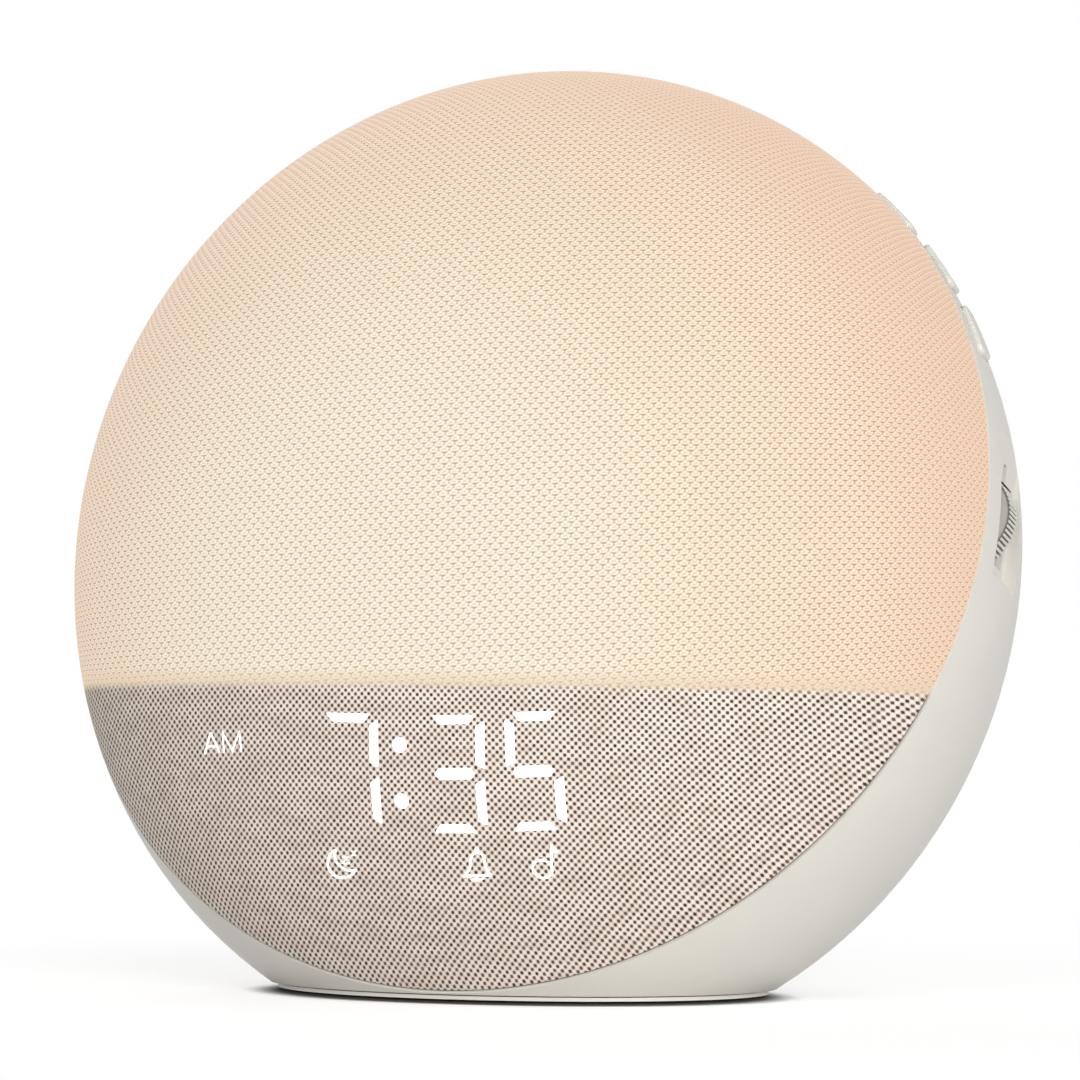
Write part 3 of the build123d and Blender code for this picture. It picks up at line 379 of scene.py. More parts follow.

# %% [markdown]
# The wheel is the same kind of plastic, a shade greyer on its flat face. Its grooves are painted darker
# as shade, the crowns of its ribs are painted lighter as a highlight, and faint noise adds dust. The
# distance from the axle tells face, groove and rib apart, so one finish does for all.

# %% Wheel plastic
DIAL_ASIDE = 84.7 * MM
DIAL_UP = 9 * MM
DIAL_MIDDLE = Vector((DIAL_ASIDE, 0, 0)) + CENTRE + seam_up * DIAL_UP + seam_axis * SEAM_OFFSET
material, tree, shader, place = new_finish("wheel_plastic")
spoke = vec(tree, "SUBTRACT", place, tuple(DIAL_MIDDLE))
along = vec(tree, "DOT_PRODUCT", spoke, seam_axis)
square = minus(tree, vec(tree, "DOT_PRODUCT", spoke, spoke), times(tree, along, along))
radius = calc(tree, "SQRT", square)
# Painted shade in the grooves and a painted highlight on the rib crowns, set by the distance from the axle.
painted_groove_shade = soft_step(tree, radius, 8.6 * MM, 9.0 * MM)
painted_rib_highlight = soft_step(tree, radius, 9.10 * MM, 9.34 * MM)
face_or_shaded_groove = blend_colours(tree, painted_groove_shade, srgb(186, 182, 175), srgb(118, 114, 107))
ribbed = blend_colours(tree, painted_rib_highlight, face_or_shaded_groove, srgb(228, 225, 218))
grime = noise(tree, place, 0.5 * MM, 3)
grimy = blend_colours(tree, times(tree, grime, 0.2), ribbed, srgb(160, 156, 148))
plug(tree, shader.inputs["Base Color"], grimy)
plug(tree, shader.inputs["Roughness"], soft_step(tree, grime, 0.3, 0.7, 0.42, 0.56))
plug(tree, shader.inputs["Normal"], bump(tree, grime, 0.3, 0.02 * MM))
finish["wheel_plastic"] = material
print("wheel middle", [round(c, 4) for c in DIAL_MIDDLE])

# %% [markdown]
# ## Finishes that follow a pattern
# Steel shows drawn lines, copper shows the turns of its winding, a circuit board shows tracks under
# its green lacquer, and a speaker cone shows pressed fibres. Each starts from the same idea, a value
# that varies across the piece, and only the way that value is made differs.

# %% Metals
def drawn_metal(name, colour, roughness, stretch):
    """Metal with fine lines, from noise stretched along one way."""
    material, tree, shader, place = new_finish(name)
    squeezed = vec(tree, "MULTIPLY", place, stretch)
    lines = noise(tree, squeezed, 0.4 * MM, 3, 0.7)
    cloudy = noise(tree, place, 9 * MM, 2)
    dull = [c * 0.82 for c in colour[:3]] + [1.0]
    plug(tree, shader.inputs["Base Color"], blend_colours(tree, cloudy, dull, colour))
    plug(tree, shader.inputs["Roughness"], soft_step(tree, lines, 0.3, 0.7, roughness, roughness + 0.16))
    plug(tree, shader.inputs["Normal"], bump(tree, lines, 0.3, 0.01 * MM))
    shader.inputs["Metallic"].default_value = 1.0
    return material


finish["steel"] = drawn_metal("zinc_plated_steel", srgb(190, 190, 192), 0.32, (1.0, 0.12, 1.0))
finish["bright_metal"] = drawn_metal("tinned_metal", srgb(214, 214, 216), 0.20, (0.2, 1.0, 1.0))
print("metals:", finish["steel"].name, "and", finish["bright_metal"].name)

# %% Copper winding
WIRE = 0.25 * MM
material, tree, shader, place = new_finish("wound_copper")
turns = calc(tree, "SINE", times(tree, vec(tree, "DOT_PRODUCT", place, short_axis), 2 * pi / WIRE))
# The colour is painted darker between the turns of wire, as shade in the valleys between them.
plug(tree, shader.inputs["Base Color"],
     blend_colours(tree, soft_step(tree, turns, -1.0, 0.6), srgb(112, 58, 30), srgb(216, 138, 88)))
plug(tree, shader.inputs["Normal"], bump(tree, turns, 0.8, 0.06 * MM))
shader.inputs["Metallic"].default_value = 1.0
shader.inputs["Roughness"].default_value = 0.3
finish["copper_coil"] = material
print("copper wire", WIRE, "m thick")

# %% Circuit board
TRACK_GAP = 3.2 * MM
material, tree, shader, place = new_finish("green_board")
blocks = add_node(tree, "ShaderNodeTexVoronoi", {"Vector": place, "Scale": 1 / TRACK_GAP},
                  feature="DISTANCE_TO_EDGE", distance="MANHATTAN")
track = soft_step(tree, blocks.outputs["Distance"], 0.03, 0.07, 1.0, 0.0)
lacquer = blend_colours(tree, noise(tree, place, 6 * MM), srgb(14, 78, 46), srgb(24, 104, 62))
plug(tree, shader.inputs["Base Color"], blend_colours(tree, track, lacquer, srgb(52, 140, 88)))
plug(tree, shader.inputs["Normal"], bump(tree, track, 0.5, 0.035 * MM))
shader.inputs["Roughness"].default_value = 0.28
finish["circuit_board"] = material
print("board tracks", TRACK_GAP, "m apart")

# %% Pressed paper
material, tree, shader, place = new_finish("pressed_paper")
fibres = noise(tree, vec(tree, "MULTIPLY", place, (1.0, 0.25, 1.0)), 0.5 * MM, 4, 0.7)
plug(tree, shader.inputs["Base Color"], blend_colours(tree, fibres, srgb(40, 38, 36), srgb(92, 88, 84)))
plug(tree, shader.inputs["Normal"], bump(tree, fibres, 0.7, 0.08 * MM))
shader.inputs["Roughness"].default_value = 0.85
finish["paper_cone"] = material
print(len(finish), "finishes so far")

# %% [markdown]
# ## Finishes that carry light
# The lamps, the milky dome behind the cloth and the light guides of the display all glow. Emission
# makes them glow without real bulbs, and a little noise keeps them from looking like flat paint.

# %% Glowing finishes
def glowing(name, colour, glow, strength, roughness, size):
    """A milky finish with its own light, uneven by a few percent."""
    material, tree, shader, place = new_finish(name)
    cloudy = noise(tree, place, size, 3)
    weaker = [c * 0.88 for c in glow[:3]] + [1.0]
    duller = [c * 0.93 for c in colour[:3]] + [1.0]
    plug(tree, shader.inputs["Base Color"], blend_colours(tree, cloudy, duller, colour))
    plug(tree, shader.inputs["Emission Color"], blend_colours(tree, cloudy, weaker, glow))
    plug(tree, shader.inputs["Normal"], bump(tree, cloudy, 0.2, 0.02 * MM))
    shader.inputs["Emission Strength"].default_value = strength
    shader.inputs["Roughness"].default_value = roughness
    return material


finish["lamp"] = glowing("phosphor_lamp", srgb(250, 226, 150), srgb(255, 214, 160), 0.9, 0.3, 1.2 * MM)
finish["diffuser"] = glowing("milky_dome", srgb(240, 232, 218), srgb(255, 208, 168), 0.35, 0.5, 10 * MM)
finish["light_guide"] = glowing("clear_guide", srgb(240, 240, 240), srgb(255, 255, 255), 0.7, 0.35, 2 * MM)
print(len(finish), "finishes")

# %% [markdown]
# ## Cloth over light
# One stretched cloth covers the whole front. Above the partition the lamp shines through it: the
# threads look like small raised pads in cream, with tan shadows between them. Below, the panel
# behind is dark, so the gaps between the same threads read as rows of dark dots.
#
# Both patterns are made from waves. The product of two cosines has its peaks on a diamond lattice,
# just where a plain weave has its gaps, and a soft step turns the peaks into dots. The dots are laid
# flat onto the front, so one straight count of turns across and one down is all that they need.

# %% Dot coordinates
DOT_ACROSS = (717.9, 81.5, -18.7)  # turns of the wave in a metre along X, Y and Z
DOT_DOWN = (-2.9, -108.9, -708.9)
WOBBLE = 0.22  # how far a thread strays, in turns

cloth_look, tree, shader, place = new_finish("glowing_weave")
shape_place = vec(tree, "SUBTRACT", place, tuple(CENTRE))
wander = noise(tree, place, 5 * MM, 2)
wobble = times(tree, minus(tree, wander, 0.5), WOBBLE)
dot_u = plus(tree, vec(tree, "DOT_PRODUCT", shape_place, DOT_ACROSS), wobble)
dot_v = plus(tree, vec(tree, "DOT_PRODUCT", shape_place, DOT_DOWN), wobble)
print("dots", round(1000 / Vector(DOT_ACROSS).length, 2), "mm a turn")

# %% [markdown]
# Laid flat like that, the large pads of the upper cloth would stretch where the front turns away.
# So they follow the surface: the way along it from its pole is an arc, and the arc of a flattened
# ball is very nearly a steady part plus one sine. The cloth is pulled a little more on one side,
# which the squared terms say.

# %% Pad coordinates that follow the surface
ARC_MEAN = 79.2 * MM
ARC_SWING = 8.32 * MM
PAD_ACROSS = (476, 30, 425, 467)  # turns in a metre across and up, and turns for their squares
PAD_DOWN = (31, -482, 233, 0)
sideways = vec(tree, "DOT_PRODUCT", shape_place, (1, 0, 0))
upward = vec(tree, "DOT_PRODUCT", shape_place, tuple(tall_axis))
forward = vec(tree, "DOT_PRODUCT", shape_place, tuple(short_axis))
from_axis = calc(tree, "SQRT", plus(tree, calc(tree, "POWER", sideways, 2), calc(tree, "POWER", upward, 2)))
pole_angle = calc(tree, "ARCTAN2", divide(tree, from_axis, HALF_WIDTH), divide(tree, forward, HALF_DEPTH))
swing = times(tree, calc(tree, "SINE", times(tree, pole_angle, 2)), ARC_SWING)
arc = plus(tree, times(tree, pole_angle, ARC_MEAN), swing)
spread = divide(tree, arc, calc(tree, "MAXIMUM", from_axis, 0.01 * MM))
cloth_x = times(tree, sideways, spread)
cloth_y = times(tree, upward, spread)
terms = (cloth_x, cloth_y, times(tree, cloth_x, cloth_x), times(tree, cloth_y, cloth_y))


def add_up(tree, start, parts):
    """Start plus each value times its weight."""
    total = start
    for value, weight in parts:
        total = plus(tree, total, times(tree, value, weight))
    return total


pad_u = add_up(tree, wobble, zip(terms, PAD_ACROSS))
pad_v = add_up(tree, wobble, zip(terms, PAD_DOWN))
print("pads", round(1000 / PAD_ACROSS[0], 2), "mm a turn")

# %% Dark gaps of the lower cloth
def wave(tree, value):
    """A cosine with one wave for each turn."""
    return calc(tree, "COSINE", times(tree, value, 2 * pi))


def lattice_mark(tree, u, v):
    """A different random number for each point of the diamond lattice."""
    across = calc(tree, "ROUND", plus(tree, u, v))
    down = calc(tree, "ROUND", minus(tree, u, v))
    cell = join_xyz(tree, across, down)
    mark = add_node(tree, "ShaderNodeTexWhiteNoise", {"Vector": cell}, noise_dimensions="2D")
    return mark.outputs[0]


gap_peak = times(tree, wave(tree, dot_u), wave(tree, dot_v))
gap_mark = lattice_mark(tree, dot_u, dot_v)
gap = soft_step(tree, gap_peak, 0.08, 0.55)
fibre = noise(tree, place, 0.35 * MM, 2)
slub = noise(tree, vec(tree, "MULTIPLY", place, (0.25, 1.0, 1.0)), 2.2 * MM, 2)
# Threads are painted lighter away from the gaps, as a highlight on their crowns, and the slub noise varies
# the yarn.
away_from_gap = times(tree, gap_peak, -0.5)
thread_highlight_and_slub = soft_step(tree, plus(tree, away_from_gap, times(tree, slub, 0.9)), 0.0, 1.0)
thread = blend_colours(tree, thread_highlight_and_slub, srgb(206, 188, 174), srgb(247, 236, 226))
gap_colour = blend_colours(tree, gap_mark, srgb(58, 44, 36), srgb(112, 92, 80))
lower_plain = blend_colours(tree, gap, thread, gap_colour)
print("gaps and threads take", len(tree.nodes), "nodes with the coordinates")

# %% [markdown]
# At its rim the cloth is tucked into the seam, where a thin line of painted shade darkens it.

# %% Painted shade at the seam
to_seam = minus(tree, vec(tree, "DOT_PRODUCT", shape_place, tuple(seam_axis)), SEAM_OFFSET)
# Painted shade: the cloth turns dark in the last part of a millimetre before the seam.
painted_seam_shade = soft_step(tree, to_seam, 0.55 * MM, 0.85 * MM, 1.0, 0.0)
lower_colour = blend_colours(tree, painted_seam_shade, lower_plain, srgb(96, 84, 74))
print("lower cloth has", len(tree.nodes), "nodes so far")

# %% [markdown]
# A pad is a small raised cell of crossed threads: light on its crown, with thin threads across it and
# a tan shadow that lies mostly under it. One product of cosines gives the cells. The threads on them
# are waves two to four times as fine, each moved by part of a turn so that the light leans. What the
# waves add up to is the height of the cloth at each place, and also tells light from shadow.

# %% Pads of the upper cloth
def shifted_wave(tree, value, finer, turn=0.0):
    """A cosine this many times as fine, moved by part of a turn."""
    return wave(tree, plus(tree, times(tree, value, finer), turn))


pads = times(tree, wave(tree, pad_u), wave(tree, pad_v))
threads = times(tree, wave(tree, pad_u), shifted_wave(tree, pad_v, 3, 0.16))
crossing = times(tree, shifted_wave(tree, pad_u, 2), shifted_wave(tree, pad_v, 2, 0.25))
side_threads = times(tree, shifted_wave(tree, pad_u, 3), shifted_wave(tree, pad_v, 1, -0.10))
under = shifted_wave(tree, pad_v, 2, -0.36)
between = shifted_wave(tree, pad_u, 2, 0.5)
hairs = shifted_wave(tree, pad_v, 4, -0.22)
speck = minus(tree, noise(tree, place, 0.28 * MM, 2), 0.5)
slant = shifted_wave(tree, plus(tree, pad_u, pad_v), 2, 0.24)
weave = add_up(tree, 0.0, ((pads, 1.0), (threads, 1.15), (crossing, 0.5), (slant, 0.3),
                           (side_threads, 0.5), (under, 0.40), (between, 0.28), (hairs, 0.5), (speck, 2.6)))
pad_light = soft_step(tree, weave, -0.4, 2.2)
shadow = soft_step(tree, weave, -2.4, 0.2, 1.0, 0.0)
print("upper cloth brings it to", len(tree.nodes), "nodes")

# %% [markdown]
# The glow is warm white in the middle and turns to peach where the cloth curves away, because light
# takes a longer way through the dome there. Distance from the middle of the glow drives that.

# %% Glow
GLOW_MIDDLE = (-2 * MM, 0.0, -4 * MM)
GLOW_SHAPE = (1.0, 0.0, 0.96)  # seen from the front, and a little taller than wide
flat_place = vec(tree, "MULTIPLY", vec(tree, "SUBTRACT", shape_place, GLOW_MIDDLE), GLOW_SHAPE)
from_middle = divide(tree, vec(tree, "LENGTH", flat_place), HALF_WIDTH)
rim = soft_step(tree, from_middle, 0.25, 1.02)
edge = soft_step(tree, from_middle, 0.86, 1.03)
pad_colour = blend_colours(tree, rim, srgb(255, 252, 246), srgb(255, 236, 220))
ground_colour = blend_colours(tree, rim, srgb(242, 229, 205), srgb(239, 214, 189))
shadow_colour = blend_colours(tree, rim, srgb(194, 170, 126), srgb(190, 148, 112))
upper_plain = blend_colours(tree, pad_light, ground_colour, pad_colour)
upper_drawn = blend_colours(tree, shadow, upper_plain, shadow_colour)
upper_colour = blend_colours(tree, times(tree, edge, 0.35), upper_drawn, srgb(236, 190, 156))
print("glow middle", GLOW_MIDDLE)

# %% [markdown]
# The partition behind the cloth is a straight shelf that rises a little to the front. The light
# doesn't stop at a knife edge, because it spreads in the cloth: over two millimetres the pads fade,
# a warm band shows, and the dark dots come in. Most of the lit cloth's colour is glow, so only a small
# share of it is left to reflect the lamps of the room.

# %% Partition between lit and unlit cloth
PARTITION_LEVEL = -24.9 * MM
PARTITION_RISE = radians(2.4)
LIT_BY_LAMPS = 0.26
GLOW_STRENGTH = 0.75
THREAD_DEPTH = 0.10 * MM
parts = add_node(tree, "ShaderNodeSeparateXYZ", {0: shape_place}).outputs
level_height = plus(tree, parts[2], times(tree, parts[1], tan(PARTITION_RISE)))
shelf = minus(tree, level_height, PARTITION_LEVEL)
lit = soft_step(tree, shelf, -1.3 * MM, 0.7 * MM)
band = soft_step(tree, shelf, 0.2 * MM, 3.5 * MM, 1.0, 0.0)
upper_near = blend_colours(tree, times(tree, band, 0.55), upper_colour, srgb(232, 208, 178))
upper_share = blend_colours(tree, LIT_BY_LAMPS, (0, 0, 0, 1), upper_near)
base = blend_colours(tree, lit, lower_colour, upper_share)
glow = blend_colours(tree, lit, (0, 0, 0, 1), upper_near)
gap_depth = times(tree, gap, minus(tree, 1.0, lit))
pad_depth = times(tree, times(tree, weave, 0.35), lit)
relief = plus(tree, minus(tree, pad_depth, gap_depth), times(tree, fibre, 0.25))
plug(tree, shader.inputs["Base Color"], base)
plug(tree, shader.inputs["Emission Color"], glow)
plug(tree, shader.inputs["Normal"], bump(tree, relief, 0.5, THREAD_DEPTH))
shader.inputs["Emission Strength"].default_value = GLOW_STRENGTH
shader.inputs["Roughness"].default_value = 0.85
shader.inputs["Specular IOR Level"].default_value = 0.25
shader.inputs["Sheen Weight"].default_value = 0.10
shader.inputs["Sheen Roughness"].default_value = 0.5
finish["front_cloth"] = cloth_look
print("cloth finish has", len(tree.nodes), "nodes")

# %% [markdown]
# ## Give every CAD piece its finish
# The record names the finish of each piece. Its mesh stays as it is, and only its material slots
# change.

# %% Finishes on the CAD pieces
for row in frame["record"]["subparts"]:
    mesh = nodes[row["node"]].data
    mesh.materials.clear()
    mesh.materials.append(finish[row["material_slot"]])

# %% [markdown]
# ## The stretched cloth
# The cloth is a cap of the form, so its shape follows a rule, and Geometry Nodes can make it. A flat
# grid becomes the cap: one way round is the angle about the middle, the other is the way from the
# middle to the rim. On a ball this is plain sine and cosine. Turning, stretching and tilting the
# ball gives the real form. Past the rim the last rows roll in towards the dome, as cloth does that is
# tucked into a seam. Sculpting or a shrinkwrap would only come near to this.

# %% Helpers for Geometry Nodes
def new_tree(name, inputs):
    """A geometry tree with named number inputs. Returns the tree and its input node."""
    tree = bpy.data.node_groups.new(name, "GeometryNodeTree")
    tree.interface.new_socket("Geometry", in_out="INPUT", socket_type="NodeSocketGeometry")
    for label, value in inputs.items():
        kind = "NodeSocketInt" if isinstance(value, int) else "NodeSocketFloat"
        socket = tree.interface.new_socket(label, in_out="INPUT", socket_type=kind)
        socket.default_value = value
    tree.interface.new_socket("Geometry", in_out="OUTPUT", socket_type="NodeSocketGeometry")
    return tree, tree.nodes.new("NodeGroupInput")


def close_tree(tree, geometry, material):
    """Ends the tree: instances made real, one material, shaded smooth."""
    real = add_node(tree, "GeometryNodeRealizeInstances", {0: geometry})
    smooth = add_node(tree, "GeometryNodeSetShadeSmooth", {0: real.outputs[0]})
    painted = add_node(tree, "GeometryNodeSetMaterial", {0: smooth.outputs[0], "Material": material})
    add_node(tree, "NodeGroupOutput", {0: painted.outputs[0]})


def bake(name, mesh, tree, values):
    """Runs a tree on a mesh, with its inputs set by identifier, and returns a plain mesh object."""
    source = bpy.data.objects.new(name + "_source", mesh)
    bpy.context.scene.collection.objects.link(source)
    modifier = source.modifiers.new("making", "NODES")
    modifier.node_group = tree
    sockets = [item for item in tree.interface.items_tree if item.in_out == "INPUT"]
    identifiers = {item.name: item.identifier for item in sockets}
    for label, value in values.items():
        modifier[identifiers[label]] = value
    bpy.context.view_layer.update()
    made = bpy.data.meshes.new_from_object(source.evaluated_get(bpy.context.evaluated_depsgraph_get()))
    source.modifiers.remove(modifier)
    bpy.data.objects.remove(source)
    made.name = name
    piece = bpy.data.objects.new(name, made)
    bpy.context.scene.collection.objects.link(piece)
    print(name, len(made.vertices), "points", len(made.polygons), "faces")
    return piece


def turn_x(tree, vector, angle):
    """A vector turned about the X axis."""
    made = add_node(tree, "ShaderNodeVectorRotate", {"Vector": vector, "Angle": angle},
                    rotation_type="X_AXIS")
    return made.outputs[0]


def scaled(tree, vector, factor):
    """A vector times a number."""
    made = add_node(tree, "ShaderNodeVectorMath", {0: vector, "Scale": factor}, operation="SCALE")
    return made.outputs[0]


print("tree helpers ready")

# %% The grid of the cap
cap_inputs = {"Half Width": HALF_WIDTH, "Half Depth": HALF_DEPTH, "Axis Tilt": AXIS_TILT,
              "Seam Lean": SEAM_TILT - AXIS_TILT, "Rim Distance": 0.0, "Roll Radius": 0.0,
              "Centre Height": CENTRE.z, "Spokes": 8, "Rings": 8, "Roll Rings": 2}
tree, given = new_tree("cap_of_the_form", cap_inputs)
size = given.outputs
rows = plus(tree, plus(tree, size["Rings"], size["Roll Rings"]), 1.0)
columns = plus(tree, size["Spokes"], 1.0)
grid = add_node(tree, "GeometryNodeMeshGrid", {"Size X": 1.0, "Size Y": 1.0, "Vertices X": columns,
                                               "Vertices Y": rows})
spot = add_node(tree, "ShaderNodeSeparateXYZ", {0: tree.nodes.new("GeometryNodeInputPosition").outputs[0]})
angle = times(tree, plus(tree, spot.outputs[0], 0.5), 2 * pi)
row = times(tree, plus(tree, spot.outputs[1], 0.5), minus(tree, rows, 1.0))
way = calc(tree, "MINIMUM", divide(tree, row, size["Rings"]), 1.0)
rolled = divide(tree, calc(tree, "MAXIMUM", minus(tree, row, size["Rings"]), 0.0), size["Roll Rings"])
print("cap tree started with", len(tree.nodes), "nodes")

# %% [markdown]
# On the ball the seam is a plane at some distance from the middle. That plane gives the turn of the
# cap and the angle of its rim.

# %% Where the rim is on the ball
lean_tall = times(tree, calc(tree, "SINE", size["Seam Lean"]), size["Half Width"])
lean_short = times(tree, calc(tree, "COSINE", size["Seam Lean"]), size["Half Depth"])
pole_turn = calc(tree, "ARCTAN2", lean_tall, lean_short)
reach_squared = plus(tree, times(tree, lean_tall, lean_tall), times(tree, lean_short, lean_short))
reach = calc(tree, "SQRT", reach_squared)
rim_angle = calc(tree, "ARCCOSINE", divide(tree, size["Rim Distance"], reach))
polar = times(tree, way, rim_angle)
ring_size = calc(tree, "SINE", polar)
ball_x = times(tree, calc(tree, "COSINE", angle), ring_size)
ball_y = times(tree, calc(tree, "SINE", angle), ring_size)
upright_ball = join_xyz(tree, ball_x, ball_y, calc(tree, "COSINE", polar))
ball = turn_x(tree, upright_ball, times(tree, pole_turn, -1.0))
print("now", len(tree.nodes), "nodes")

# %% [markdown]
# Stretching the ball gives a point of the form, and dividing by the stretch gives the way out of it,
# which a stretched ball doesn't share with a round one. The roll at the rim is a quarter circle. It
# starts along the surface, away from the middle, and ends straight in.

# %% Stretch and tilt
stretch = join_xyz(tree, size["Half Width"], size["Half Width"], size["Half Depth"])
tilt = minus(tree, pi / 2, size["Axis Tilt"])
on_form = turn_x(tree, vec(tree, "MULTIPLY", ball, stretch), tilt)
outward = vec(tree, "NORMALIZE", turn_x(tree, vec(tree, "DIVIDE", ball, stretch), tilt))
print("then", len(tree.nodes), "nodes")

# %% Roll the rim and weld
seam_out = turn_x(tree, (0.0, 0.0, 1.0), minus(tree, tilt, size["Seam Lean"]))
along = scaled(tree, outward, vec(tree, "DOT_PRODUCT", seam_out, outward))
downhill = vec(tree, "NORMALIZE", vec(tree, "SUBTRACT", along, seam_out))
roll_angle = times(tree, rolled, pi / 2)
roll_on = times(tree, size["Roll Radius"], calc(tree, "SINE", roll_angle))
roll_in = times(tree, size["Roll Radius"], minus(tree, calc(tree, "COSINE", roll_angle), 1.0))
rolled_on = vec(tree, "ADD", on_form, scaled(tree, downhill, roll_on))
rolled_in = vec(tree, "ADD", rolled_on, scaled(tree, outward, roll_in))
raised = vec(tree, "ADD", rolled_in, join_xyz(tree, z=size["Centre Height"]))
shaped = add_node(tree, "GeometryNodeSetPosition", {0: grid.outputs[0], "Position": raised})
welded = add_node(tree, "GeometryNodeMergeByDistance", {0: shaped.outputs[0], "Distance": 0.01 * MM})
outside = add_node(tree, "GeometryNodeFlipFaces", {0: welded.outputs[0]})
close_tree(tree, outside.outputs[0], finish["front_cloth"])
cap_tree = tree
print("the cap tree has", len(tree.nodes), "nodes")

# %% Make the cloth
RIM = 0.8 * MM  # the cloth starts to roll in this far in front of the seam
ROLL = 0.55 * MM
CLOTH_THICK = 0.5 * MM
cap_sizes = {**cap_inputs, "Rim Distance": SEAM_OFFSET + RIM, "Roll Radius": ROLL,
             "Spokes": 320, "Rings": 96, "Roll Rings": 4}
cloth = bake("front_cloth", bpy.data.meshes.new("empty"), cap_tree, cap_sizes)
area = sum(face.area for face in cloth.data.polygons)
print("cloth, one side", round(area, 5), "square metres")
thick = cloth.modifiers.new("thickness", "SOLIDIFY")
thick.thickness = CLOTH_THICK
thick.offset = -1
thick.use_rim = True

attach(cloth, "clock")
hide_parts("front_fabric")

# %% [markdown]
# ## Lit figures of the display
# The display is behind the cloth, and its light comes through as crisp white shapes. Each shape is a
# flat outline in millimetres, cut into small triangles so that it can bend, laid onto the form along
# one direction, and given a little thickness. It stands a tenth of a millimetre proud of the cloth,
# which hides in the brightness.

# %% Laying flat shapes onto the form
DISPLAY_DROP = 38.4 * MM  # from the middle of the form down to the middle of the display
PROUD = 0.10 * MM
SUNK = -0.15 * MM
BEHIND = 10 * MM  # where the lines that lay a shape start

display_middle = onto_form(CENTRE + Vector((0, 0, -DISPLAY_DROP)), Vector((0, -1, 0)))
display_out = form_gradient(display_middle - CENTRE).normalized()
display_up = display_out.cross(Vector((1, 0, 0)))


def lay(x, y, lift):
    """A place on the display, in millimetres, as a point on the form."""
    start = display_middle + Vector((x * MM, 0, 0)) + display_up * (y * MM) - display_out * BEHIND
    return onto_form(start, display_out, lift)


def lit_plate(points, faces, all_points, all_faces):
    """Adds a thin closed plate over some flat faces, with a wall along each edge that has one face."""
    first = len(all_points)
    count = len(points)
    all_points += [lay(x, y, PROUD) for x, y in points]
    all_points += [lay(x, y, SUNK) for x, y in points]
    edges = {}
    for face in faces:
        all_faces.append([first + i for i in face])
        all_faces.append([first + count + i for i in reversed(face)])
        for a, b in zip(face, face[1:] + face[:1]):
            edges[(a, b)] = True
    for a, b in edges:
        if (b, a) not in edges:
            all_faces.append([first + b, first + a, first + count + a, first + count + b])


print("display middle", [round(c, 4) for c in display_middle])

# %% [markdown]
# A filled outline is cut up by Delaunay triangulation, with extra points inside on a one millimetre
# lattice. A line with a width is a strip of four-sided faces instead.

# %% Filled outlines
def rounded(corners, radius=0.25):
    """Each corner of an outline becomes a short curve."""
    smooth = []
    for before, corner, after in zip(corners[-1:] + corners[:-1], corners, corners[1:] + corners[:1]):
        here = Vector(corner)
        back = (Vector(before) - here).normalized() * radius
        on = (Vector(after) - here).normalized() * radius
        smooth += [tuple(here + back), tuple(here + (back + on) * 0.27), tuple(here + on)]
    return smooth


def filled(outline, all_points, all_faces, step=1.0):
    """Adds a plate with this outline."""
    xs = [x for x, y in outline]
    ys = [y for x, y in outline]
    inside = []
    y = min(ys) + step / 2
    while y < max(ys):
        x = min(xs) + step / 2
        while x < max(xs):
            inside.append(Vector((x, y)))
            x += step
        y += step
    corners = [Vector(p) for p in outline]
    order = list(range(len(corners)))
    area = sum(a.x * b.y - b.x * a.y for a, b in zip(corners, corners[1:] + corners[:1]))
    if area < 0:
        order.reverse()
    cut = delaunay_2d_cdt(corners + inside, [], [order], 1, 1e-6)
    points = cut[0]
    faces = cut[2]
    used = sorted({i for face in faces for i in face})
    place_of = {old: new for new, old in enumerate(used)}
    kept = [tuple(points[i]) for i in used]
    lit_plate(kept, [[place_of[i] for i in face] for face in faces], all_points, all_faces)


print("outlines are cut on a 1 mm lattice")

# %% Strips, curves and rings
def strip(line, width, all_points, all_faces, closed=False):
    """Adds a line of this width, with square ends or closed on itself."""
    path = [Vector(p) for p in line]
    count = len(path)
    sides = []
    for i, here in enumerate(path):
        before = path[i - 1] if i or closed else here
        after = path[(i + 1) % count] if i + 1 < count or closed else here
        one = (here - before).normalized() if (here - before).length else (after - here).normalized()
        two = (after - here).normalized() if (after - here).length else one
        middle = (one + two).normalized()
        across = Vector((-middle.y, middle.x)) * (width / 2 / max(0.5, middle.dot(two)))
        sides += [tuple(here + across), tuple(here - across)]
    faces = []
    for i in range(count if closed else count - 1):
        j = (i + 1) % count
        faces.append([2 * i, 2 * i + 1, 2 * j + 1, 2 * j])
    lit_plate(sides, faces, all_points, all_faces)


def curve_through(points, steps=6):
    """More points on a smooth open line through these."""
    last = len(points) - 1
    smooth = []
    for i in range(last):
        p = [Vector(points[min(max(i + k, 0), last)]) for k in (-1, 0, 1, 2)]
        slope = p[2] - p[0]
        bend = 2 * p[0] - 5 * p[1] + 4 * p[2] - p[3]
        twist = 3 * p[1] - p[0] - 3 * p[2] + p[3]
        for t in [step / steps for step in range(steps)]:
            smooth.append(tuple(0.5 * (2 * p[1] + slope * t + bend * t**2 + twist * t**3)))
    smooth.append(tuple(points[-1]))
    return smooth


def ring_of(x, y, radius, count=28):
    """Points round a circle."""
    turns = [2 * pi * i / count for i in range(count)]
    return [(x + radius * cos(turn), y + radius * sin(turn)) for turn in turns]


print("strips and curves ready")

# %% [markdown]
# The white isn't paint but light in the threads, so it has a faint grain of the weave in it.

